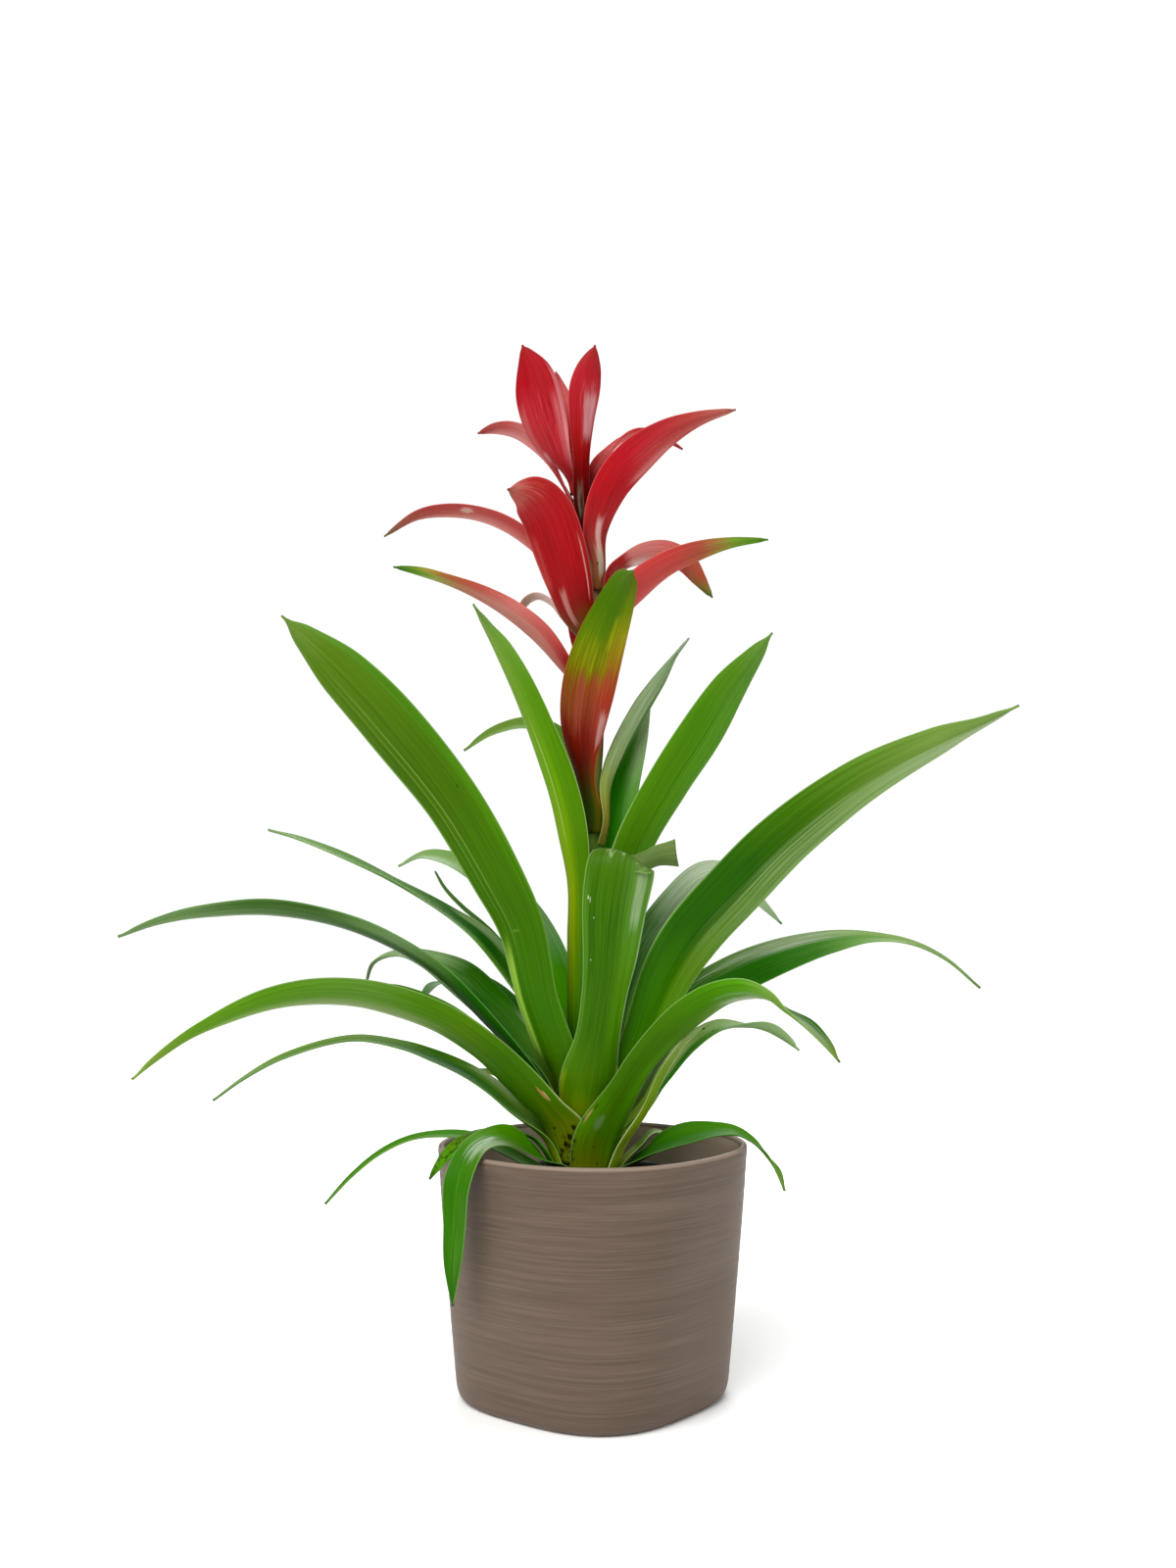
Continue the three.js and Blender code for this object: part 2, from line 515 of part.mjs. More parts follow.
// The growing medium, with a lumpy top and a plain hole for the stem.
function pottingMix() {
  const { top, lump, rings, turns, holeTurns } = MIX;
  const base = PLANTER.floor + 2 * GAP + NURSERY.wall;
  const holeFoot = STEM_PROFILE[0][0] - GAP;
  const wallAt = (z) => NURSERY.foot - NURSERY.wall - 2 * GAP
    + ((NURSERY.rim - NURSERY.foot - 0.4) * (z - base)) / (NURSERY.top - 6 - base);
  const edge = wallAt(top - 2);
  const profile = [[0, base], [wallAt(base) - 1.6, base], [wallAt(base + 3), base + 3], [edge, top - 2]];
  for (let i = 0; i <= rings; i += 1) profile.push([(edge - 1.2) * (1 - i / rings), top]);
  const body = reshape(turned(profile, turns), (p) => {
    if (p.z < top - 1) return;
    const out = Math.hypot(p.x, p.y) / edge;
    const waves = Math.sin(0.31 * p.x + 1.1) * Math.cos(0.27 * p.y - 0.4) + 0.5 * Math.sin(0.6 * p.x - 0.5 * p.y);
    p.z += lump * waves * out * out;
  });
  const radius = stemRadius(top) + GAP;
  const hole = new THREE.CylinderGeometry(radius, radius, top, holeTurns).rotateX(Math.PI / 2);
  hole.translate(stemX(holeFoot), 0, holeFoot + top / 2);
  return fromManifold(toManifold(body).subtract(toManifold(weld(hole))));
}

function stem() {
  const profile = STEM_PROFILE.map(([z, r]) => [r, z]);
  const ends = [[0, STEM_PROFILE[0][0]], [0, STEM_PROFILE.at(-1)[0]]];
  return reshape(turned([ends[0], ...profile, ends[1]], STEM_TURNS), (p) => {
    p.x += stemX(p.z);
  });
}

// A crowd of pointed buds joined on one small boss.
function flowerBuds() {
  const top = STEM_PROFILE.at(-1)[0] + GAP;
  let cluster = toManifold(turned([[0, 0], [2.2, 0], [3, 2], [2.4, 4], [0, 5]], 12));
  for (const [turn, lean, length, r] of BUDS) {
    const bud = turned([[0, 0], [0.6 * r, 0], [r, 0.35 * length], [0.7 * r, 0.7 * length], [0, length]], 9);
    bud.rotateY(rad(lean)).rotateZ(rad(turn)).translate(0, 0, 1);
    cluster = cluster.add(toManifold(bud));
  }
  return fromManifold(cluster).translate(stemX(top), 0, top);
}

// The line along the middle of a blade and how its width, twist and cup change on the way.
function bladeSpine(spec, thick) {
  const [radius, height, width] = spec.sheath;
  const out = new THREE.Vector3(Math.cos(rad(spec.azimuth)), Math.sin(rad(spec.azimuth)), 0);
  const rootRadius = stemRadius(spec.attach) + GAP + 0.5 * thick + 0.3;
  const rootWidth = Math.min(width, 2 * rootRadius);
  const fromStem = (r, z) => out.clone().multiplyScalar(r).add(new THREE.Vector3(stemX(z), 0, z));
  const places = [fromStem(rootRadius, spec.attach), fromStem(radius, height)];
  const shapes = [
    new THREE.Vector3(rootWidth, 0, rootWidth / rootRadius),
    new THREE.Vector3(width, 0, width / radius),
  ];
  for (const [x, y, z, w, twist] of spec.blade) {
    places.push(new THREE.Vector3(x, y, z));
    shapes.push(new THREE.Vector3(w, rad(twist), rad(spec.cup)));
  }
  return {
    inward: out.negate(),
    line: new THREE.CatmullRomCurve3(places, false, 'centripetal'),
    shape: new THREE.CatmullRomCurve3(shapes, false, 'catmullrom', 0.5),
  };
}

// Frames carried along the spine without turning about it, before the stated twist is added.
function spineFrames({ inward, line, shape }, along) {
  const finer = 8;
  const facing = inward.clone();
  const frames = [];
  for (let i = 0; i <= along * finer; i += 1) {
    const t = line.getUtoTmapping(i / (along * finer));
    const ahead = line.getTangent(t);
    facing.addScaledVector(ahead, -facing.dot(ahead)).normalize();
    if (i % finer !== 0) continue;
    const [width, twist, cup] = shape.getPoint(t).toArray();
    const up = facing.clone().applyAxisAngle(ahead, twist);
    frames.push({
      at: line.getPoint(t), up, side: up.clone().cross(ahead).normalize(), width: Math.max(width, 1.1), cup,
    });
  }
  return frames;
}

// A blade: a flat sheet laid on the cupped surface along its spine, then thickened.
function blade(spec, [thickMiddle, thickEdge], across, along) {
  const frames = spineFrames(bladeSpine(spec, thickMiddle), along);
  const sheet = new THREE.PlaneGeometry(1, 1, across, along);
  const flat = sheet.attributes.position;
  const corners = [];
  const backs = [];
  for (let i = 0; i < flat.count; i += 1) {
    const v = 2 * flat.getX(i);
    const frame = frames[Math.round((0.5 - flat.getY(i)) * along)];
    const radius = frame.width / frame.cup;
    const angle = 0.5 * v * frame.cup;
    const middle = frame.at.clone()
      .addScaledVector(frame.side, radius * Math.sin(angle))
      .addScaledVector(frame.up, radius * (1 - Math.cos(angle)));
    const face = frame.up.clone().multiplyScalar(Math.cos(angle)).addScaledVector(frame.side, -Math.sin(angle));
    const half = 0.5 * THREE.MathUtils.lerp(thickMiddle, thickEdge, v * v);
    corners.push(...middle.clone().addScaledVector(face, half).toArray());
    backs.push(...middle.addScaledVector(face, -half).toArray());
  }
  const index = [...sheet.index.array];
  const open = new Map();
  const triangles = [...index];
  for (let i = 0; i < index.length; i += 3) {
    const [a, b, c] = index.slice(i, i + 3);
    triangles.push(c + flat.count, b + flat.count, a + flat.count);
    for (const [p, q] of [[a, b], [b, c], [c, a]]) {
      if (!open.delete(`${q},${p}`)) open.set(`${p},${q}`, [p, q]);
    }
  }
  for (const [p, q] of open.values()) {
    triangles.push(q, p, p + flat.count, q, p + flat.count, q + flat.count);
  }
  const geometry = new THREE.BufferGeometry();
  geometry.setAttribute('position', new THREE.Float32BufferAttribute([...corners, ...backs], 3));
  geometry.setIndex(triangles);
  return geometry;
}

const plant = new THREE.Group();

function place(name, geometry, color, roughness) {
  const mesh = new THREE.Mesh(geometry, new THREE.MeshStandardMaterial({ color, roughness, metalness: 0 }));
  mesh.name = name;
  plant.add(mesh);
}

place('planter', planter(), 0x76675a, 0.75);
place('nursery_pot', nurseryPot(), 0x1b1b1c, 0.5);
place('potting_mix', pottingMix(), 0x3a2a1e, 0.95);
place('stem', stem(), 0x9aa86a, 0.55);
place('flower_buds', flowerBuds(), 0x8a1a22, 0.5);
for (const [name, spec] of Object.entries(LEAVES)) {
  const along = Math.min(14, 4 + spec.blade.length);
  place(name, blade(spec, LEAF_THICK, 4, along), spec.colour, 0.45);
}
for (const [name, spec] of Object.entries(BRACTS)) {
  place(name, blade(spec, BRACT_THICK, 4, 3 + spec.blade.length), spec.colour, 0.45);
}

export default plant;
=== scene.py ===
# A guzmania bromeliad in its planter. Each leaf and bract is a grid laid along its own curve,
# the pots are spun from their profiles, and every finish is a node material.
# Lengths are in millimetres, and mm turns them into metres where Blender needs them.
import math
import random

import bmesh
import bpy
from mathutils import Matrix, Vector, noise


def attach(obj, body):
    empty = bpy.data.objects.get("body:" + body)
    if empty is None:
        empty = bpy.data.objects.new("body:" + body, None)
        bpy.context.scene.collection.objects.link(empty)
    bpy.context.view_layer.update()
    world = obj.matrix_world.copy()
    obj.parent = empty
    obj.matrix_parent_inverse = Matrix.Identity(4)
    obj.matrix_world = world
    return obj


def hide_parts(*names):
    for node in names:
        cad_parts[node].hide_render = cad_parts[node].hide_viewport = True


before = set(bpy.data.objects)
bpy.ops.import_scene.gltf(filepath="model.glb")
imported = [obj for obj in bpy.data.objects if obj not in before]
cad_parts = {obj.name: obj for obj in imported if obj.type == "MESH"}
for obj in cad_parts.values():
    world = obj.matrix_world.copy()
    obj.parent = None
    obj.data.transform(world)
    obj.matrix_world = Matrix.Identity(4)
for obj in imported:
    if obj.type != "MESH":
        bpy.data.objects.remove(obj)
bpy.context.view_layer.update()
mm = 0.001
gap = 0.3  # air between neighbouring pieces
weld = 1e-6  # points closer than this, in metres, become one


# Camera, light and floor

# The camera stands level. Its focal length, horizon and picture height are in the photo's pixels.
camera = {"place": (-2.4, -800, 248), "focal": 1684, "horizon": 901, "height": 1600}
sensor, clip = 36, (0.01, 50)


def addCamera():
    data = bpy.data.cameras.new("camera")
    data.sensor_width = sensor
    data.lens = sensor * camera["focal"] / camera["height"]
    data.shift_y = (camera["horizon"] - camera["height"] / 2) / camera["height"]
    data.clip_start, data.clip_end = clip
    made = bpy.data.objects.new("camera", data)
    made.location = Vector(camera["place"]) * mm
    made.rotation_euler = (math.radians(90), 0, 0)
    bpy.context.scene.collection.objects.link(made)
    bpy.context.scene.camera = made


# each softbox: where it stands, what it looks at, its side and its power
lights = {
    "window_left": ((-1500, -1500, 1500), (0, 0, 250), 700, 6),
    "window_right": ((1700, -700, 900), (0, 0, 280), 600, 6),
    "above_behind": ((200, 1500, 1500), (0, 0, 280), 1200, 24),
}
# the sun evens out the floor; the room is seen whiter than it shines
room = {"sun": 2.9, "sunSpread": 50, "sunTurn": (44, 0, -28), "glow": 0.4, "seen": 1.05}


def addLights():
    for name, (place, target, side, power) in lights.items():
        data = bpy.data.lights.new(name, "AREA")
        data.shape, data.size, data.energy = "SQUARE", side * mm, power
        made = bpy.data.objects.new(name, data)
        made.location = Vector(place) * mm
        made.rotation_euler = (Vector(target) - Vector(place)).to_track_quat("-Z", "Y").to_euler()
        made.visible_camera = False
        bpy.context.scene.collection.objects.link(made)
    data = bpy.data.lights.new("soft_sun", "SUN")
    data.energy, data.angle = room["sun"], math.radians(room["sunSpread"])
    made = bpy.data.objects.new("soft_sun", data)
    made.rotation_euler = [math.radians(turn) for turn in room["sunTurn"]]
    bpy.context.scene.collection.objects.link(made)
    world = bpy.data.worlds.new("soft_room")
    world.use_nodes = True
    background = world.node_tree.nodes["Background"]
    background.inputs["Color"].default_value = (1, 1, 1, 1)
    seen = node(world.node_tree, "LightPath", {})
    shine = {"Value": seen, "To Min": room["glow"], "To Max": room["seen"]}
    glow = node(world.node_tree, "MapRange", shine)
    world.node_tree.links.new(glow, background.inputs["Strength"])
    bpy.context.scene.world = world
    bpy.context.scene.view_settings.view_transform = "Standard"


stand = {"radius": 9000, "turns": 64, "colour": "#fcfcfb"}


def addFloor():
    material, _, shader = newFinish("floor_finish", roughness=0.9)
    shader.inputs["Base Color"].default_value = colour(stand["colour"])
    shader.inputs["Specular IOR Level"].default_value = 0
    bm = bmesh.new()
    bmesh.ops.create_circle(bm, cap_ends=True, segments=stand["turns"], radius=stand["radius"] * mm)
    toObject(bm, "floor", [material])


# Meshes and materials

def toObject(bm, name, materials=()):
    mesh = bpy.data.meshes.new(name)
    bm.to_mesh(mesh)
    bm.free()
    for material in materials:
        mesh.materials.append(material)
    for polygon in mesh.polygons:
        polygon.use_smooth = True
    made = bpy.data.objects.new(name, mesh)
    bpy.context.scene.collection.objects.link(made)
    return made


# A finished piece takes the place of its CAD node.
def putOn(made, node):
    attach(made, "root")
    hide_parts(node)
    return made


# Turns [radius, height] points once round the Z axis.
def spin(profile, turns):
    bm = bmesh.new()
    points = [bm.verts.new((r * mm, 0, z * mm)) for r, z in profile]
    edges = [bm.edges.new(pair) for pair in zip(points, points[1:])]
    bmesh.ops.spin(
        bm, geom=points + edges, axis=(0, 0, 1), cent=(0, 0, 0),
        angle=math.tau, steps=turns, use_merge=True,
    )
    bmesh.ops.remove_doubles(bm, verts=bm.verts, dist=weld)
    bmesh.ops.recalc_face_normals(bm, faces=bm.faces)
    return bm


def lookUp(table, place):
    if place <= table[0][0]:
        return table[0][1]
    for (p0, v0), (p1, v1) in zip(table, table[1:]):
        if place <= p1:
            return v0 + (place - p0) / (p1 - p0) * (v1 - v0)
    return table[-1][1]


# A Catmull-Rom curve through a profile's points, for round shoulders.
def smoothProfile(points, steps):
    places = [Vector(p) for p in points]
    count = steps * (len(points) - 1)
    return [tuple(curvePoint(places, i / count, True)) for i in range(count + 1)]


def colour(hexCode):
    parts = [int(hexCode[i:i + 2], 16) / 255 for i in (1, 3, 5)]
    return [c / 12.92 if c <= 0.04045 else ((c + 0.055) / 1.055) ** 2.4 for c in parts] + [1]


def newFinish(name, roughness, gloss=0.2):
    material = bpy.data.materials.new(name)
    material.use_nodes = True
    shader = material.node_tree.nodes["Principled BSDF"]
    shader.inputs["Roughness"].default_value = roughness
    shader.inputs["Specular IOR Level"].default_value = gloss
    return material, material.node_tree, shader


def node(tree, kind, inputs, output=0, **settings):
    made = tree.nodes.new("ShaderNode" + kind)
    for key, value in settings.items():
        setattr(made, key, value)
    for key, value in inputs.items():
        if isinstance(value, bpy.types.NodeSocket):
            tree.links.new(value, made.inputs[key])
        else:
            made.inputs[key].default_value = value
    return made.outputs[output]


def sums(tree, operation, a, b, c=0.0):
    return node(tree, "Math", {0: a, 1: b, 2: c}, operation=operation)


def mapped(tree, value, low, high, toLow=0.0, toHigh=1.0, kind="SMOOTHSTEP"):
    spans = {"From Min": low, "From Max": high, "To Min": toLow, "To Max": toHigh}
    return node(tree, "MapRange", {"Value": value, **spans}, interpolation_type=kind)


def mixed(tree, factor, a, b, blend="MIX"):
    return node(tree, "Mix", {0: factor, 6: a, 7: b}, output=2, data_type="RGBA", blend_type=blend)


def ramp(tree, value, stops):
    made = tree.nodes.new("ShaderNodeValToRGB")
    tree.links.new(value, made.inputs[0])
    elements = made.color_ramp.elements
    while len(elements) < len(stops):
        elements.new(0.5)
    for element, (place, hexCode) in zip(elements, stops):
        element.position, element.color = place, colour(hexCode)
    return made.outputs[0]


def shaded(tree, tone, shade):
    return mixed(tree, 1, tone, node(tree, "CombineColor", {0: shade, 1: shade, 2: shade}), "MULTIPLY")


def objectPlace(tree):
    return node(tree, "TexCoord", {}, output=3)


def heightOf(tree, place):
    return node(tree, "SeparateXYZ", {0: place}, output=2)


# Noise drawn out along Z. Across and along say how often it turns in a metre.
def longGrain(tree, place, across, along, detail, shift=(0, 0, 0), roughness=0.5):
    scale = (across, across, along)
    place = node(tree, "Mapping", {"Vector": place, "Location": shift, "Scale": scale})
    return node(tree, "TexNoise", {"Vector": place, "Scale": 1, "Detail": detail, "Roughness": roughness})


noiseSpan = (0.3, 0.7)  # where nearly all of a noise's values lie


def bump(tree, shader, height, strength, distance):
    normal = node(tree, "Bump", {"Height": height, "Strength": strength, "Distance": distance * mm})
    tree.links.new(normal, shader.inputs["Normal"])


# Planter

planter = {
    "height": 122.5, "rim": 75, "foot": 66.3, "footRound": 6, "wall": 3.7, "floor": 5, "turn": 6,
    "rimPower": 2.3, "footPower": 2.9, "turns": 192, "groove": 0.1, "grooveRise": 2.6, "grooveRun": 60,
    "grooves": (12, 118.5), "lipHighlight": (120.3, 121.6),
}
# each layer of the glaze's brushed streaks: across, along, detail and shift
glaze = {"broad": (7, 120, 3, (0, 0, 0)), "fine": (14, 800, 4, (3, 1, 7)), "hair": (26, 2600, 2, (5, 2, 1))}


# How far a soft square reaches in a direction: 1 at its corners and less on the flats.
def softSquare(angle, power):
    c = abs(math.cos(angle - math.pi / 4))
    s = abs(math.sin(angle - math.pi / 4))
    return 2 ** (1 / power - 0.5) / (c ** power + s ** power) ** (1 / power)


def planterFinish(name, paintedLight):
    material, tree, shader = newFinish(name, roughness=0.62)
    place = objectPlace(tree)
    broad, fine, hair = [longGrain(tree, place, *layer, roughness=0.65) for layer in glaze.values()]
    tone = ramp(tree, broad, [(0.3, "#524337"), (0.5, "#5c4d41"), (0.7, "#65564a")])
    close = ramp(tree, fine, [(0.3, "#4d3f34"), (0.5, "#5e4e41"), (0.68, "#706054")])
    tone = mixed(tree, 0.5, tone, close)
    tone = mixed(tree, mapped(tree, hair, 0.6, 0.78, 0, 0.3), tone, colour("#88796b"))
    # the top of the rim is mixed towards a lighter tone: a painted highlight along the lip
    lip = mapped(tree, heightOf(tree, place), *[z * mm for z in planter["lipHighlight"]])
    tone = mixed(tree, sums(tree, "MULTIPLY", lip, 0.6), tone, colour("#988576"))
    # painted light: the inside is mixed towards a light tan against the shade within the pot
    tone = mixed(tree, paintedLight, tone, colour("#d8bfae"))
    tree.links.new(tone, shader.inputs["Base Color"])
    tree.links.new(mapped(tree, fine, *noiseSpan, 0.42, 0.6), shader.inputs["Roughness"])
    relief = sums(tree, "ADD", fine, sums(tree, "MULTIPLY", hair, 0.35))
    bump(tree, shader, relief, 0.45, 0.3)
    return material


def makePlanter():
    h, rim, foot, f = planter["height"], planter["rim"], planter["foot"], planter["footRound"]
    w, floor = planter["wall"], planter["floor"]
    outer = [
        (foot - 1.1 * f, 0), (foot - 0.62 * f, 0.9), (foot - 0.26 * f, 3.4), (foot - 0.08 * f, 7),
        (foot, 11),
    ]
    side = [(foot, 11), (foot + 2.8, 44), (rim - 2.2, 90), (rim - 0.5, 116)]
    lip = [
        (rim - 0.5, 116), (rim - 0.3, h - 1.6), (rim - 0.8, h - 0.4), (rim - 1.9, h), (rim - 3, h - 0.5),
        (rim - 3.8, h - 2),
    ]
    inner = [(r - w, z + 2) for r, z in side[::-1][1:]]
    bottom = [(foot - w - 1.4, floor + 3.2), (foot - w - 5, floor + 0.6), (foot - w - 9, floor)]
    profile = [(0, 0)] + smoothProfile(outer, 3)[:-1] + smoothProfile(side, 30)[:-1]
    profile += smoothProfile(lip, 3)[:-1] + smoothProfile([lip[-1]] + inner + bottom, 5) + [(0, floor)]
    bm = spin(profile, planter["turns"])
    walls = [(z, r - w / 2) for r, z in side]
    for face in bm.faces:
        x, y, z = face.calc_center_median() / mm
        face.material_index = int(floor < z < h - 2 and math.hypot(x, y) < lookUp(walls, z))
    low, high = planter["grooves"]
    for vert in bm.verts:
        x, y, z = vert.co / mm
        angle, radius = math.atan2(y, x), math.hypot(x, y)
        power = planter["footPower"] + (planter["rimPower"] - planter["footPower"]) * z / h
        run = Vector((x, y, 0)) / planter["grooveRun"]
        run.z = z / planter["grooveRise"]
        outside = low < z < high and radius > foot * 0.8
        groove = planter["groove"] * noise.noise(run) if outside else 0
        reach = softSquare(angle - math.radians(planter["turn"]), power) * (1 + groove / max(radius, 1))
        vert.co = Vector((x * reach, y * reach, z)) * mm
    # the inside finish is the outside one with painted light mixed in
    finishes = [planterFinish("planter_finish", 0), planterFinish("planter_inside", 0.45)]
    putOn(toObject(bm, "planter_wall", finishes), "planter")


# Nursery pot and growing mix

nurseryPot = {"foot": 43, "rim": 54.6, "top": 105, "wall": 1.3, "flange": 2.8, "turns": 96}


def makeNurseryPot():
    foot, rim, top, w = nurseryPot["foot"], nurseryPot["rim"], nurseryPot["top"], nurseryPot["wall"]
    flange, base = nurseryPot["flange"], planter["floor"] + gap
    lip = [
        (rim + flange - 0.4, top - 5.4), (rim + flange, top - 0.9), (rim + flange - 0.5, top - 0.2),
        (rim + flange - 1.2, top), (rim + 0.6, top), (rim - 0.6, top - 0.8), (rim - 1.2, top - 3),
        (rim - w - 0.5, top - 6),
    ]
    outside = [(0, base), (foot - 1.4, base), (foot, base + 1.6), (rim - 1.2, top - 14)]
    outside.append((rim - 0.4, top - 6.2))
    inside = [(foot - w, base + 2.2), (foot - w - 1, base + w), (0, base + w)]
    profile = outside + lip + inside
    material, tree, shader = newFinish("nursery_plastic", roughness=0.42)
    place = objectPlace(tree)
    speck = node(tree, "TexNoise", {"Vector": place, "Scale": 900, "Detail": 3})
    dust = node(tree, "TexNoise", {"Vector": place, "Scale": 70, "Detail": 4})
    dark = ramp(tree, speck, [(0.35, "#141415"), (0.65, "#242426")])
    tone = mixed(tree, mapped(tree, dust, 0.5, 0.75, 0, 0.35), dark, colour("#4b4036"))
    tree.links.new(tone, shader.inputs["Base Color"])
    bump(tree, shader, speck, 0.25, 0.15)
    putOn(toObject(spin(profile, nurseryPot["turns"]), "nursery_wall", [material]), "nursery_pot")


mix = {
    "top": 96, "lump": 1.3, "turns": 120, "rings": 26, "fine": 0.8, "fineRun": 2.2,
    "chips": 420, "chipSize": (1.0, 3.4), "chipShape": (1.5, 0.8, 0.45), "chipTilt": 0.5, "chipRoom": 3,
    "seed": 5,
}


def mixTop(x, y, edge):
    out = math.hypot(x, y) / edge
    waves = math.sin(0.31 * x + 1.1) * math.cos(0.27 * y - 0.4) + 0.5 * math.sin(0.6 * x - 0.5 * y)
    return mix["top"] + mix["lump"] * waves * out * out


def makeMix():
    top, base = mix["top"], planter["floor"] + 2 * gap + nurseryPot["wall"]
    slope = (nurseryPot["rim"] - nurseryPot["foot"] - 0.4) / (nurseryPot["top"] - 6 - base)

    def wallAt(z):
        return nurseryPot["foot"] - nurseryPot["wall"] - 2 * gap + slope * (z - base)

    edge, hole = wallAt(top - 2), lookUp(stem["profile"], top) + gap
    profile = [(0, base), (wallAt(base) - 1.6, base), (wallAt(base + 3), base + 3), (edge, top - 2)]
    profile += [(edge - 1.2 - (edge - 1.2) * i / mix["rings"], top) for i in range(mix["rings"] + 1)]
    bm = spin(profile, mix["turns"])
    for vert in bm.verts:
        x, y, z = vert.co / mm
        if z > top - 1:
            z = mixTop(x, y, edge) + mix["fine"] * noise.noise(Vector((x, y, 3)) / mix["fineRun"])
            vert.co.z = z * mm
    draw, room, tilt = random.Random(mix["seed"]), mix["chipRoom"], mix["chipTilt"]
    noise.seed_set(mix["seed"])  # or noise_vector takes its seed from the clock
    for _ in range(mix["chips"]):
        reach = hole + room + (edge - hole - 5) * math.sqrt(draw.random())
        turn, size = draw.uniform(0, math.tau), draw.uniform(*mix["chipSize"])
        x, y = stem["lean"][0][1] + reach * math.cos(turn), reach * math.sin(turn)
        if math.hypot(x, y) > edge - room:
            continue
        pose = Matrix.Translation(Vector((x, y, mixTop(x, y, edge) + 0.2 * size)) * mm)
        pose @= Matrix.Rotation(draw.uniform(0, math.tau), 4, "Z")
        pose @= Matrix.Rotation(draw.uniform(-tilt, tilt), 4, "X")
        pose @= Matrix.Diagonal([share * size * mm for share in mix["chipShape"]] + [1])
        for vert in bmesh.ops.create_icosphere(bm, subdivisions=1, radius=0.6, matrix=pose)["verts"]:
            vert.co += noise.noise_vector(vert.co / (2 * mm)) * 0.3 * mm
    material, tree, shader = newFinish("mix_finish", roughness=0.95)
    place = objectPlace(tree)
    grain = node(tree, "TexNoise", {"Vector": place, "Scale": 420, "Detail": 6, "Roughness": 0.7})
    crumbs = node(tree, "TexVoronoi", {"Vector": place, "Scale": 330}, output=1)
    brown = ramp(tree, grain, [(0.3, "#17100b"), (0.5, "#33241a"), (0.66, "#5a4430"), (0.8, "#8a6f4e")])
    tone = mixed(tree, 0.25, brown, crumbs, "SOFT_LIGHT")
    tree.links.new(tone, shader.inputs["Base Color"])
    bump(tree, shader, grain, 0.8, 0.8)
    putOn(toObject(bm, "mix_and_bark", [material]), "potting_mix")


# Stem and flower buds

stem = {
    "profile": [
        (62, 14.4), (98, 14.4), (104, 13.8), (112, 12.6), (124, 10.8), (138, 8.9), (152, 7.4),
        (175, 6.2), (220, 5.3), (280, 4.6), (340, 4.1), (400, 3.6), (436, 3.2), (446, 2.2),
    ],
    "lean": [
        (62, -4), (125, -4), (160, -2.8), (210, -1), (270, -0.6),
        (330, 0.4), (385, 1.2), (400, 0.2), (425, -4.6), (446, -7.4),
    ],
    "turns": 40, "rise": 2, "rib": 0.12, "ribs": 11,
    # the dark reds near the top are painted shade where the bracts close round the stem
    "tones": [
        (0, "#5a4a2c"), (0.12, "#7f8a3c"), (0.42, "#6f8c2c"), (0.55, "#5f8420"), (0.62, "#6a7a30"),
        (0.8, "#7c2426"), (0.88, "#a8a87c"), (0.9, "#5c1218"), (1, "#4c0c12"),
    ],
}


def makeStem():
    low, high = stem["profile"][0][0], stem["profile"][-1][0]
    count = int((high - low) / stem["rise"])
    heights = [low + (high - low) * i / count for i in range(count + 1)]
    bm = spin([(0, low)] + [(lookUp(stem["profile"], z), z) for z in heights] + [(0, high)], stem["turns"])
    for vert in bm.verts:
        x, y, z = vert.co / mm
        rib = 1 - stem["rib"] / 4 * (1 + math.cos(stem["ribs"] * math.atan2(y, x)))
        vert.co = Vector((x * rib + lookUp(stem["lean"], z), y * rib, z)) * mm
    material, tree, shader = newFinish("stem_finish", roughness=0.45)
    place = objectPlace(tree)
    fibre = longGrain(tree, place, 900, 30, 4)
    share = mapped(tree, heightOf(tree, place), low * mm, high * mm, kind="LINEAR")
    tone = shaded(tree, ramp(tree, share, stem["tones"]), mapped(tree, fibre, *noiseSpan, 0.75, 1.15))
    tree.links.new(tone, shader.inputs["Base Color"])
    bump(tree, shader, fibre, 0.4, 0.2)
    putOn(toObject(bm, "flower_stem", [material]), "stem")


# each bud: lean direction, lean, length and radius
buds = {
    "places": [
        (0, 2, 17, 2.6), (20, 16, 13, 2.2), (95, 18, 12, 2.2), (165, 17, 13, 2.1), (235, 16, 12, 2.2),
        (300, 19, 11, 2.1),
    ],
    "boss": [(0, 0), (2.2, 0), (3, 2), (2.4, 4), (0, 5)],
    "bud": [(0, 0), (0.6, 0), (0.85, 0.16), (1, 0.35), (0.93, 0.55), (0.7, 0.74), (0.34, 0.9), (0, 1)],
    "turns": 18, "lobe": 0.08, "height": 18,
    "tones": [(0, "#6f8a2e"), (0.3, "#8c1f25"), (0.7, "#a3242a"), (0.9, "#e0cf8a"), (1, "#f2ecc4")],
}


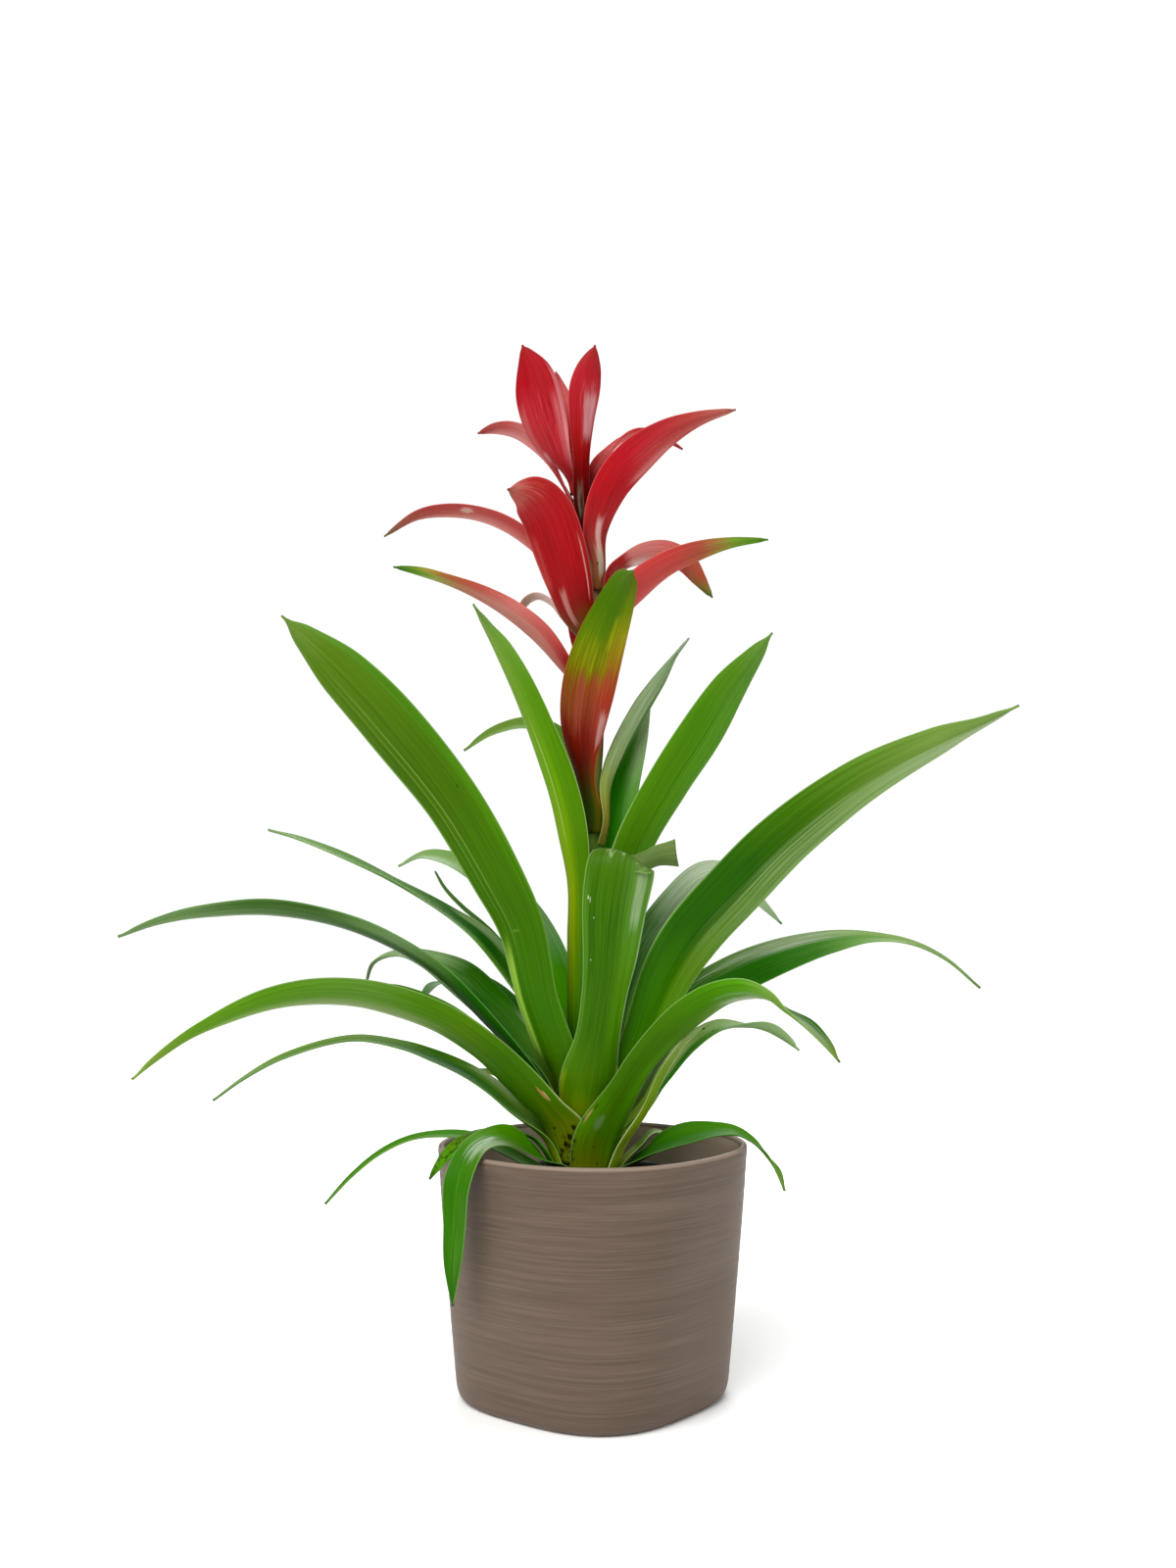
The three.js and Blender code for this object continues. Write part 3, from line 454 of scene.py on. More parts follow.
def makeBuds():
    top = stem["profile"][-1][0] + gap
    whole = spin(buds["boss"], buds["turns"])
    mesh = bpy.data.meshes.new("bud")
    for turn, lean, length, radius in buds["places"]:
        one = spin([(r * radius, z * length) for r, z in smoothProfile(buds["bud"], 2)], buds["turns"])
        for vert in one.verts:
            lobe = 1 + buds["lobe"] * (math.cos(3 * math.atan2(vert.co.y, vert.co.x)) - 1)
            vert.co.x, vert.co.y = vert.co.x * lobe, vert.co.y * lobe
        pose = Matrix.Translation((0, 0, mm)) @ Matrix.Rotation(math.radians(turn), 4, "Z")
        one.transform(pose @ Matrix.Rotation(math.radians(lean), 4, "Y"))
        one.to_mesh(mesh)
        one.free()
        whole.from_mesh(mesh)
    bpy.data.meshes.remove(mesh)
    whole.transform(Matrix.Translation(Vector((lookUp(stem["lean"], top), 0, top)) * mm))
    material, tree, shader = newFinish("bud_finish", roughness=0.38)
    place = objectPlace(tree)
    fibre = longGrain(tree, place, 1500, 120, 3)
    share = mapped(tree, heightOf(tree, place), top * mm, (top + buds["height"]) * mm, kind="LINEAR")
    share = sums(tree, "ADD", share, mapped(tree, fibre, 0.2, 0.8, -0.12, 0.12))
    tree.links.new(ramp(tree, share, buds["tones"]), shader.inputs["Base Color"])
    bump(tree, shader, fibre, 0.3, 0.15)
    putOn(toObject(whole, "bud_cluster", [material]), "flower_buds")


# Leaves and bracts

# A point of a Catmull-Rom curve. Knots spaced by distance keep it from looping where points are close.
def curvePoint(points, t, spaced):
    last = len(points) - 1
    i = min(int(t * last), last - 1)
    x = t * last - i
    p1, p2 = points[i], points[i + 1]
    p0 = points[i - 1] if i > 0 else 2 * p1 - p2
    p3 = points[i + 2] if i + 2 <= last else 2 * p2 - p1
    m1, m2 = (p2 - p0) / 2, (p3 - p1) / 2
    if spaced:
        d0, d1, d2 = [(b - a).length ** 0.5 for a, b in ((p0, p1), (p1, p2), (p2, p3))]
        m1 = ((p1 - p0) / d0 - (p2 - p0) / (d0 + d1) + (p2 - p1) / d1) * d1
        m2 = ((p2 - p1) / d1 - (p3 - p1) / (d1 + d2) + (p3 - p2) / d2) * d1
    return p1 + m1 * x + (3 * (p2 - p1) - 2 * m1 - m2) * x ** 2 + (2 * (p1 - p2) + m1 + m2) * x ** 3


# Where each blade grows: azimuth of its sheath, height on the stem, sheath [radius, height, width],
# the arc it is cupped through, and rows of [x, y, z, width, twist] along its middle.
leaves = {
    # the three broad blades in front
    "leaf_01": {
        "azimuth": -90, "attach": 126.5, "sheath": [16.4, 143, 29], "cup": 60, "taper": 0,
        "blade": [
            [-1.8, -20.5, 156, 28, 0], [2, -25, 174, 22, 0], [5, -31, 194, 22, 0], [7.6, -37, 212, 26, 0],
            [10, -43, 238, 31.5, 0], [12.2, -45, 252, 33, 0], [13.2, -44, 258.5, 32, 0],
            [14.2, -41, 261.2, 30, 0], [16, -37.5, 260, 24, 8], [20, -34.5, 257.5, 14, 38],
            [25, -34, 258.6, 9, 75], [30, -34.5, 260.6, 10, 88], [34.5, -35.5, 261.2, 11.5, 90],
            [38.5, -36.5, 261.6, 13.5, 90],
        ],
    },
    "leaf_02": {
        "azimuth": -149, "attach": 131, "sheath": [13.4, 148, 26], "cup": 55,
        "blade": [
            [-19, -14, 168, 22, 36], [-27, -21, 193, 21, 46], [-34, -30, 226, 23, 50],
            [-44, -38, 248, 26, 52], [-64.5, -48, 284, 28, 52], [-91.8, -60, 319, 29, 52],
            [-112.5, -68, 341.6, 24, 52], [-127.5, -73, 356.2, 12, 52], [-137, -75, 365.5, 1.5, 52],
        ],
    },
    "leaf_05": {
        "azimuth": -32, "attach": 131, "sheath": [14.4, 147, 24], "cup": 50,
        "blade": [
            [19, -12, 163, 20, -36], [25.5, -16, 179, 21, -46], [34.7, -25, 203, 26, -50],
            [45, -34, 221, 29, -52], [63, -46, 242.3, 29.5, -52], [86.5, -58, 267.3, 27.5, -54],
            [119.2, -72, 293, 22, -54], [150.5, -84, 309.6, 14, -50], [167.5, -90, 317, 6.5, -35],
            [182, -94, 324, 1.3, -35],
        ],
    },
    # upright inner blades round the stem
    "leaf_03": {
        "azimuth": -118, "attach": 147, "sheath": [10.2, 166, 16], "cup": 80,
        "blade": [
            [-7.5, -11.5, 200, 15, 0], [-8, -12, 222, 13, 0], [-8, -13, 248, 13, 0],
            [-11, -15, 272, 17.5, 0], [-16.5, -17, 295, 18, 0], [-25.5, -19, 320, 16, 0],
            [-34.5, -21, 341, 14, 0], [-43.6, -23, 359, 10, 0], [-50.5, -24, 369.5, 5, 0],
            [-56.3, -25, 379, 1.3, 0],
        ],
    },
    "leaf_04": {
        "azimuth": -26, "attach": 143, "sheath": [11.4, 162, 16], "cup": 50,
        "blade": [
            [7, -8, 201, 18, -15], [11.2, -10, 234, 19.5, -28], [20.5, -12, 266, 21.5, -38],
            [36.1, -16, 294.3, 23, -42], [50.7, -20, 316.9, 23.5, -42], [64.7, -24, 339.6, 18.5, -42],
            [75.6, -27, 354.2, 10, -42], [83.7, -29, 365, 1.4, -42],
        ],
    },
    "leaf_15": {
        "azimuth": -8, "attach": 266, "sheath": [8, 278, 11.4], "cup": 95,
        "blade": [
            [7.8, -1, 295.7, 12, -20], [14.5, 0, 314.7, 11, -50], [23.4, 0, 331.6, 10.5, -55],
            [32.4, 0, 346, 7.5, -55], [39.6, 1, 357.6, 2.6, -55], [46.6, 2, 367, 0.9, -55],
        ],
    },
    "leaf_16": {
        "azimuth": 36, "attach": 148.5, "sheath": [9.2, 170, 11], "cup": 70,
        "blade": [
            [6.5, 7, 215, 13, 15], [8.2, 8, 248, 17, 30], [11, 10, 272, 18, 38], [15.4, 12, 297, 18, 38],
            [21.8, 14, 321, 13, 38], [28.6, 15, 341, 1.4, 38],
        ],
    },
    # arching leaves on the left
    "leaf_06": {
        "azimuth": -174, "attach": 122.5, "sheath": [17, 139, 20], "cup": 60,
        "blade": [
            [-27, -8.5, 154, 20, 5], [-49, -16, 179.5, 21.5, 20], [-76.5, -21, 206.8, 24, 22],
            [-112, -28, 226.2, 24, 25], [-148, -34, 234.2, 22.5, 29], [-183, -39, 232.8, 17, 28],
            [-201, -41, 229.3, 11, 22], [-218, -43, 223.5, 2.5, 14],
        ],
    },
    "leaf_07": {
        "azimuth": -143, "attach": 113.5, "sheath": [20.6, 131, 39], "cup": 60,
        "blade": [
            [-26, -17, 141.5, 28, 12], [-38, -20, 155.6, 24, 20], [-52, -23.5, 169.3, 22, 22],
            [-75, -29, 184, 24.5, 20], [-111, -38, 195, 24, 19], [-145, -47, 193.6, 20, 20],
            [-179, -55, 180.4, 10.5, 16], [-196, -58, 169, 6, 12], [-207, -60, 160, 1.3, 10],
        ],
    },
    "leaf_08": {
        "azimuth": 164, "attach": 126.5, "sheath": [15.8, 145, 19], "cup": 55,
        "blade": [
            [-25, 8, 160, 19, -15], [-37, 12, 172.5, 21, -30], [-52, 14, 187.5, 24, -35],
            [-67, 16, 200.6, 24, -35], [-83, 19, 209, 17, -25], [-96, 20, 212.5, 10, -15],
            [-108.5, 20, 208.5, 7, 0], [-113, 20, 198, 1.3, 0],
        ],
    },
    "leaf_09": {
        "azimuth": 176, "attach": 109.5, "sheath": [19.8, 124, 26], "cup": 70,
        "blade": [
            [-39.5, -1, 138.5, 22, -10], [-52, -2.5, 149.3, 18.5, -12], [-64, -4, 157.3, 15, -15],
            [-78, -5, 163.7, 13, -14], [-92, -5.5, 168.8, 11, -10], [-116, -6, 172.5, 9, -5],
            [-148, -8, 164.2, 8, -5], [-167, -9, 154.4, 5, 0], [-182, -10, 144, 1.2, 0],
        ],
    },
    "leaf_10": {
        "azimuth": 184, "attach": 118.5, "sheath": [17.2, 132, 14], "cup": 60,
        "blade": [
            [-31, 1, 149, 14, 0], [-42, 1.5, 161, 14, -15], [-54.5, 1, 172.5, 14, -28],
            [-69, -2, 184, 13, -30], [-83, -5, 191.5, 11, -30], [-95, -6, 196.5, 7, -30],
            [-104, -6, 199, 1.5, -30],
        ],
    },
    "leaf_11": {
        "azimuth": 162, "attach": 135, "sheath": [12.8, 152, 20], "cup": 70,
        "blade": [
            [-27, 6, 180, 20, -5], [-40.6, 9, 202, 19, -12], [-55, 12, 220, 17, -15],
            [-72.4, 16, 233, 13, -10], [-100, 22, 249, 9, 0], [-125, 27, 261, 8, -10],
            [-147.5, 31, 270, 5, -10], [-164, 34, 275, 1.2, 0],
        ],
    },
    "leaf_12": {
        "azimuth": 120, "attach": 131, "sheath": [14.6, 148, 6], "cup": 60,
        "blade": [
            [-24, 27, 182, 4.5, 0], [-38, 29, 206, 3.6, 0], [-52, 31, 224, 2.8, 0],
            [-66, 34, 236, 2.2, 0], [-75.5, 37, 246, 1.6, 0], [-80, 38, 254, 1, 0],
        ],
    },
    "leaf_13": {
        "azimuth": 120, "attach": 143, "sheath": [11.8, 161, 18], "cup": 60,
        "blade": [
            [-15, 14, 186, 19, 0], [-23, 23, 212, 21, 0], [-38, 32, 235, 21, 0], [-58, 44, 252, 18, 0],
            [-75, 54, 260, 13, 0], [-89, 62, 262, 10, 0], [-102, 68, 257, 3.5, 0],
        ],
    },
    "leaf_14": {
        "azimuth": 114, "attach": 152, "sheath": [8.8, 176, 11], "cup": 60,
        "blade": [
            [-4, 16, 224, 14, 0], [-4, 22, 268, 16, 0], [-8.3, 31, 303, 16, 0], [-18, 38, 322, 13, 0],
            [-33, 44, 329, 11, 0], [-51, 49, 325.5, 9.5, 0], [-66.5, 53, 316.5, 3, 0],
        ],
    },
    # arching leaves on the right
    "leaf_17": {
        "azimuth": 4, "attach": 135, "sheath": [13, 152, 20], "cup": 45,
        "blade": [
            [17, 3, 190, 22, 25], [27, 4, 216, 22.5, 50], [42, 6, 236.5, 22.5, 55],
            [56, 7, 250, 20.5, 52], [68, 8, 251, 15, 45], [80, 8, 240, 9, 40], [92.5, 8, 228, 1.3, 40],
        ],
    },
    "leaf_18": {
        "azimuth": 39, "attach": 118.5, "sheath": [17.5, 136, 15], "cup": 60,
        "blade": [
            [28, 13, 167, 20, 15], [46, 18, 186, 23, 26], [68.6, 26, 199.5, 23, 33],
            [91.5, 34, 209.3, 20, 38], [122.6, 44, 217.5, 14, 30], [143.6, 49, 219.5, 9, 14],
            [165, 53, 216.6, 7, 0], [184, 57, 208, 5, 0], [202, 60, 193.4, 1.2, 0],
        ],
    },
    "leaf_19": {
        "azimuth": -68, "attach": 109.5, "sheath": [20.4, 127.5, 26], "cup": 70,
        "blade": [
            [15.5, -27, 150.5, 18.5, 0], [23.5, -31, 163.5, 18.5, 3], [34, -36, 176.5, 19, -2],
            [45, -42, 187.5, 19, -7], [57.7, -49, 195.8, 18, -5], [69.3, -54, 198.3, 15.5, -3],
            [79, -58, 196, 12, 12], [86.2, -60, 190.5, 9, 32], [96, -62, 183.5, 11, 54],
            [104, -63, 175.5, 8, 56], [110, -64, 168, 1.2, 56],
        ],
    },
    "leaf_20": {
        "azimuth": -3, "attach": 114.5, "sheath": [17, 126, 14], "cup": 75,
        "blade": [
            [27, -4, 141.5, 13.5, 16], [36.5, -8, 156.5, 14, 31], [47, -12, 170, 14.5, 31],
            [60, -15, 178.6, 13, 18], [72, -17, 180, 9, -12], [83.3, -19, 178.5, 9, -47],
            [91, -20, 174, 7, -47], [97.4, -21, 169, 1.2, -47],
        ],
    },
    "leaf_27": {
        "azimuth": -30, "attach": 106.5, "sheath": [20, 120, 10], "cup": 80,
        "blade": [
            [25, -20, 140, 6.5, -10], [34, -26, 160, 5.5, -20], [43, -31, 174, 3.8, -20],
            [52, -36, 183, 1.3, -20],
        ],
    },
    # short leaves leaning over the rim
    "leaf_21": {
        "azimuth": -20, "attach": 98.5, "sheath": [20, 109, 22], "cup": 55,
        "blade": [
            [26, -13, 118, 18, 10], [35, -14.5, 124, 17, 30], [45.7, -14, 127.8, 16, 40],
            [58.3, -13, 129.2, 14, 32], [68.5, -12, 128.4, 12, 25], [77.5, -11, 123.4, 9, 20],
            [84, -10, 116.5, 4, 10], [88.7, -9, 109, 5, 45], [92.1, -8, 100.3, 1.2, 45],
        ],
    },
    "leaf_22": {
        "azimuth": -144, "attach": 101.5, "sheath": [18.8, 112, 20], "cup": 50,
        "blade": [
            [-29, -20.5, 121, 17.5, -25], [-37.5, -27.5, 127.5, 17.5, -34],
            [-46.5, -36.5, 129, 15.5, -18], [-54.5, -45.5, 125.5, 16, 0], [-60.5, -52.5, 113, 16, 0],
            [-62, -53, 92.5, 13.5, 0], [-63.5, -51, 74.5, 10, 0], [-64, -49, 55.5, 1.4, 0],
        ],
    },
    "leaf_23": {
        "azimuth": 174, "attach": 97.5, "sheath": [20, 106, 12], "cup": 50,
        "blade": [
            [-30, -3, 111, 11, 0], [-40, -6, 117.2, 11, 0], [-49.3, -9, 122.5, 10, 0],
            [-58.6, -11, 126.3, 9, 0], [-70, -13, 128, 7, 0], [-86.2, -15, 126.5, 5, 0],
            [-100.6, -16, 120, 4.5, 0], [-114, -17, 109.5, 3.5, 0], [-127, -18, 96, 1.2, 0],
        ],
    },
    "leaf_24": {
        "azimuth": -165, "attach": 105.5, "sheath": [18.7, 116, 12], "cup": 45,
        "blade": [
            [-30, -5.5, 125.5, 8, 0], [-41.5, -12.5, 129, 9, 0], [-53.5, -27, 130, 9, 0],
            [-62, -36.5, 126.5, 9, 0], [-68, -41.5, 121.5, 7, 0], [-75, -45, 112.5, 1.6, 0],
        ],
    },
    "leaf_26": {
        "azimuth": 130, "attach": 114.5, "sheath": [17.6, 127, 9], "cup": 50,
        "blade": [[-36, 19.5, 147, 6, 0], [-48.3, 19, 153.7, 4.5, 0], [-59, 19, 155.4, 1.3, 0]],
    },
    "leaf_28": {
        "azimuth": 6, "attach": 102.5, "sheath": [19, 112, 12], "cup": 60,
        "blade": [[24, 1, 121, 10, 0], [29, 1, 126.5, 8, 0], [35, 1, 127, 1.5, 0]],
    },
    # leaves at the back
    "leaf_29": {
        "azimuth": 60, "attach": 110.5, "sheath": [19, 130, 22], "cup": 60,
        "blade": [
            [18, 30, 158, 23, 0], [34, 54, 188, 25, 0], [52, 84, 211, 24, 0], [66, 112, 222, 15, 0],
            [76, 138, 223, 1.3, 0],
        ],
    },
    "leaf_30": {
        "azimuth": 84, "attach": 122.5, "sheath": [17.2, 141, 22], "cup": 55,
        "blade": [
            [2, 28, 176, 23, 0], [8, 48, 212, 26, 0], [14, 78, 238, 26, 0], [18, 116, 250, 21, 0],
            [20, 152, 246, 12, 0], [21, 176, 232, 1.3, 0],
        ],
    },
    "leaf_31": {
        "azimuth": 113, "attach": 118.5, "sheath": [17.5, 135, 17], "cup": 60,
        "blade": [
            [-22, 29, 154, 21, 0], [-42, 48, 177, 24, 0], [-64, 76, 193, 21, 0], [-84, 104, 193, 14, 0],
            [-98, 126, 180, 1.3, 0],
        ],
    },
    "leaf_32": {
        "azimuth": 42, "attach": 106.5, "sheath": [20, 121, 20], "cup": 60,
        "blade": [
            [26, 21, 140, 20, 0], [38, 36, 161, 21, 0], [50, 54, 179, 17, 0], [58, 73, 189, 10, 0],
            [64, 90, 191, 1.3, 0],
        ],
    },
    "leaf_25": {
        "azimuth": 104, "attach": 101.5, "sheath": [21, 117, 20], "cup": 60,
        "blade": [
            [-10, 34, 134, 21, 0], [-14, 54, 150, 22, 0], [-20, 80, 158, 18, 0], [-25, 104, 152, 11, 0],
            [-29, 122, 138, 1.3, 0],
        ],
    },
}

# The bracts are laid out the same way; they grow from the slender stem above the leaves.
bracts = {
    "bract_01": {
        "azimuth": -165, "attach": 436, "sheath": [4.8, 442, 8], "cup": 75,
        "blade": [
            [-16.8, -7.2, 451, 14.6, 35], [-22.8, -9, 464.5, 23, 52], [-27.4, -10, 480.6, 25.5, 55],
            [-30, -10.5, 493.3, 19.5, 55], [-33.8, -11, 505.2, 1.5, 55],
        ],
    },
    "bract_02": {
        "azimuth": -85, "attach": 418, "sheath": [5.6, 432, 9], "cup": 80,
        "blade": [
            [-5, -8.6, 452, 9.4, 20], [-4.6, -9, 470, 13.5, 15], [-3.4, -11, 484, 16.5, 10],
            [-1.2, -12, 495, 12.5, 10], [1, -13, 504.5, 1.4, 10],
        ],
    },
    "bract_03": {
        "azimuth": 104, "attach": 439, "sheath": [4.4, 445, 5], "cup": 60,
        "blade": [[-11.5, 6, 462.8, 9, 0], [-13.4, 6.5, 480, 10, 0], [-18.2, 7, 498, 1.4, 0]],
    },
    "bract_04": {
        "azimuth": 168, "attach": 428, "sheath": [6.4, 436, 8], "cup": 60,
        "blade": [
            [-19.5, 6.8, 450, 11, 15], [-28.7, 8, 462.8, 12, 40], [-38.3, 9, 469.3, 10, 45],
            [-47.4, 9, 470.5, 7, 45], [-56.5, 9, 468.4, 1.3, 45],
        ],
    },
    "bract_05": {
        "azimuth": -50, "attach": 389, "sheath": [6, 401, 10], "cup": 60,
        "blade": [
            [2.2, -9, 417, 15, -8], [8.8, -13, 436.4, 18.5, -24], [20.4, -17, 449.8, 19, -28],
            [34.6, -21, 459.9, 14, -28], [49.2, -24, 466, 7.5, -28], [66.9, -27, 469.7, 1.2, -28],
        ],
    },
    "bract_06": {
        "azimuth": 45, "attach": 420, "sheath": [5.6, 430, 8], "cup": 60,
        "blade": [
            [2.8, 6, 449.4, 12, 5], [9.4, 8, 460, 15.5, -20], [18.4, 9, 467, 16, -28],
            [28, 11, 468, 12.5, -30], [37, 12, 465, 7, -28], [44.3, 13, 461.8, 1.3, -28],
        ],
    },
    "bract_07": {
        "azimuth": -108, "attach": 354, "sheath": [6.8, 364, 12], "cup": 80,
        "blade": [
            [-8.6, -9.5, 379, 20, 3], [-12.5, -14, 393.3, 25, 10], [-17, -18, 408.9, 27.5, 14],
            [-22, -23, 421.5, 27, 15], [-29.5, -29, 428.5, 21, 15], [-39.8, -34, 430.8, 1.6, 15],
        ],
    },
    "bract_08": {
        "azimuth": 172, "attach": 368, "sheath": [6.3, 376, 7], "cup": 60,
        "blade": [
            [-12, 0, 390, 12, 10], [-24, -1, 406, 14, 30], [-40, -3, 419, 13, 38],
            [-54.1, -4, 424.8, 11, 42], [-70.5, -5, 426.5, 10, 42], [-84.5, -6, 424.3, 7, 42],
            [-100.4, -7, 414.5, 1.3, 42],
        ],
    },
    "bract_09": {
        "azimuth": -162, "attach": 330, "sheath": [6.6, 339, 12], "cup": 60,
        "blade": [
            [-14, -4, 352, 13, 15], [-25.9, -8, 367.4, 13, 35], [-39.8, -11, 378.4, 11.5, 42],
            [-53.7, -13, 386, 9, 42], [-67.6, -15, 391.4, 6.5, 42], [-81.5, -16, 395.6, 5, 42],
            [-94.8, -17, 398, 1.2, 42],
        ],
    },
    "bract_10": {
        "azimuth": -18, "attach": 345, "sheath": [6.6, 354, 13], "cup": 60,
        "blade": [
            [10.8, -7, 375, 16, -20], [21, -9, 389, 17, -38], [35, -11, 399.6, 14, -42],
            [49.9, -13, 405.8, 11, -42], [65.2, -14, 409.7, 6, -42], [83.3, -15, 411.4, 1.2, -42],
        ],
    },
    "bract_11": {
        "azimuth": -20, "attach": 377, "sheath": [6.6, 388, 9], "cup": 60,
        "blade": [
            [9, 0, 397.5, 9, 0], [15, 4, 403.5, 9, -5], [25, 9, 409, 11.5, -15], [36, 11, 410, 12.5, -20],
            [45.5, 12, 406, 11, -28], [52.2, 13, 398, 7.5, -28], [59, 14, 388.7, 1.3, -28],
        ],
    },
    "bract_12": {
        "azimuth": 140, "attach": 360, "sheath": [5.9, 367, 8], "cup": 50,
        "blade": [
            [-14.4, 8, 377, 10, 20], [-20.6, 11, 385, 10, 35], [-27.8, 13, 388.5, 9, 35],
            [-33.6, 14, 385, 8, 35], [-35, 14, 379, 1.5, 35],
        ],
    },
    "bract_13": {
        "azimuth": -96, "attach": 272, "sheath": [6.6, 283, 10], "cup": 100,
        "blade": [
            [-3.8, -9.5, 299, 10.5, 0], [-5.2, -14, 321, 23.5, 0], [-2.5, -17, 341.6, 29, 0],
            [2.6, -20, 360, 27, 0], [9.6, -25, 377.5, 21, 0], [15, -30, 389, 14, 0],
            [18.6, -34, 393, 3, 0],
        ],
    },
    # bracts at the back
    "bract_14": {
        "azimuth": 100, "attach": 300, "sheath": [6.8, 311, 13], "cup": 80,
        "blade": [[-3, 15, 330, 18, 0], [-3, 22, 350, 19, 0], [-2, 33, 366, 13, 0], [-2, 44, 370, 1.5, 0]],
    },
    "bract_15": {
        "azimuth": 108, "attach": 338, "sheath": [6.8, 348, 13], "cup": 70,
        "blade": [
            [-4, 15, 366, 17, 0], [-7, 25, 384, 17, 0], [-11, 39, 395, 13, 0], [-15, 54, 397, 7, 0],
            [-18, 66, 394, 1.3, 0],
        ],
    },
    "bract_16": {
        "azimuth": 96, "attach": 384, "sheath": [6.2, 394, 8], "cup": 70,
        "blade": [[-2, 13, 411, 11, 0], [-4, 23, 425, 12, 0], [-5, 34, 433, 8, 0], [-6, 46, 435, 1.4, 0]],
    },
}

# thickness in the middle and at the margins, columns and rows of the mesh, and how far the pleats,
# the middle channel and the waves of the margins stand out
bladeForm = {
    "leaf": {
        "middle": 1.15, "margin": 0.45, "across": 22, "rows": 110,
        "pleat": 0.1, "channel": 0.35, "wave": 0.5,
    },
    "bract": {
        "middle": 0.95, "margin": 0.42, "across": 20, "rows": 70,
        "pleat": 0.08, "channel": 0.3, "wave": 0.35,
    },
}
rootClear = 0.3
marginCrowd = 1.4  # draws the columns of a blade together towards its margins
tipWidth, tipTaper = 0.3, 0.75
sheathEnd, tip = (0.16, 0.4), (0.965, 1)  # shares of a blade's length
waveRun, pleatWidth, channelWidth = 26, 4, 0.09


# Frames along a blade, each with its place, the way its inner side faces and the way across.
def bladeFrames(spec, middle, rows):
    radius, height, width = spec["sheath"]
    azimuth = math.radians(spec["azimuth"])
    out = Vector((math.cos(azimuth), math.sin(azimuth), 0))
    rootRadius = lookUp(stem["profile"], spec["attach"]) + gap + 0.5 * middle + rootClear
    rootWidth = min(width, 2 * rootRadius)
    places, shapes = [], []
    for r, z, w in ((rootRadius, spec["attach"], rootWidth), (radius, height, width)):
        places.append(out * r + Vector((lookUp(stem["lean"], z), 0, z)))
        shapes.append(Vector((w, 0, w / r)))
    for x, y, z, w, twist in spec["blade"]:
        places.append(Vector((x, y, z)))
        shapes.append(Vector((w, math.radians(twist), math.radians(spec["cup"]))))

    samples, nudge, finer = 300, 1e-4, 3
    points = [curvePoint(places, i / samples, True) for i in range(samples + 1)]
    lengths = [0]
    for a, b in zip(points, points[1:]):
        lengths.append(lengths[-1] + (b - a).length)
    knots = [(length, i / samples) for i, length in enumerate(lengths)]
    facing, frames = -out, []
    for i in range(rows * finer + 1):
        t = lookUp(knots, lengths[-1] * i / (rows * finer))
        ahead = curvePoint(places, min(t + nudge, 1), True) - curvePoint(places, max(t - nudge, 0), True)
        ahead.normalize()
        facing = (facing - ahead * facing.dot(ahead)).normalized()
        if i % finer:
            continue
        width, twist, cup = curvePoint(shapes, t, False)
        up = Matrix.Rotation(twist, 3, ahead) @ facing
        frames.append({
            "at": curvePoint(places, t, True), "up": up, "side": up.cross(ahead).normalized(),
            "width": max(width, tipWidth), "cup": cup, "length": lengths[-1],
        })
    return frames


def ease(value, low, high):
    x = min(max((value - low) / (high - low), 0), 1)
    return x * x * (3 - 2 * x)


def makeBlade(name, spec, kind, look, seed):
    form = bladeForm[kind]
    bm = bmesh.new()
    uvs = bm.loops.layers.uv.new("UVMap")
    bmesh.ops.create_grid(bm, x_segments=form["across"], y_segments=form["rows"], size=1)
    levels = sorted({round(vert.co.y, 5) for vert in bm.verts})
    frames = dict(zip(levels, bladeFrames(spec, form["middle"], len(levels) - 1)))
    for face in bm.faces:
        for loop in face.loops:
            x, y, _ = loop.vert.co
            loop[uvs].uv = (0.5 + 0.5 * math.sin(marginCrowd * x) / math.sin(marginCrowd), 0.5 + 0.5 * y)
    weights = []
    for vert in bm.verts:
        x, y, _ = vert.co
        here = frames[round(y, 5)]
        v, along = math.sin(marginCrowd * x) / math.sin(marginCrowd), 0.5 + 0.5 * y
        free = ease(along, *sheathEnd)
        width = here["width"] * (1 - spec.get("taper", tipTaper) * ease(along, *tip))
        ruffle = noise.noise(Vector((along * here["length"] / waveRun, 2 * x, seed)))
        pleats = max(3, round(width / pleatWidth))
        lift = form["wave"] * free * abs(v) ** 3 * ruffle
        lift += form["pleat"] * free * math.cos(math.pi * v * pleats) * (1 - v * v)
        lift -= form["channel"] * free * math.exp(-((v / channelWidth) ** 2))
        radius, angle = width / here["cup"], 0.5 * v * here["cup"]
        side, up = here["side"], here["up"]
        place = here["at"] + side * radius * math.sin(angle) + up * radius * (1 - math.cos(angle))
        vert.co = (place + (up * math.cos(angle) - side * math.sin(angle)) * lift) * mm
        thick = form["middle"] + (form["margin"] - form["middle"]) * v * v
        weights.append(thick / form["middle"])
    outer = bladeFinish(name + "_outer", look, seed)
    inner = bladeFinish(name + "_inner", {**look, **look.get("inner", {})}, seed + 50)
    made = toObject(bm, name + "_blade", [outer, inner])
    group = made.vertex_groups.new(name="thickness")
    for i, weight in enumerate(weights):
        group.add([i], weight, "REPLACE")
    shell = made.modifiers.new("thickness", "SOLIDIFY")
    shell.thickness, shell.offset, shell.vertex_group = form["middle"] * mm, 0, group.name
    shell.material_offset = 1
    putOn(made, name)


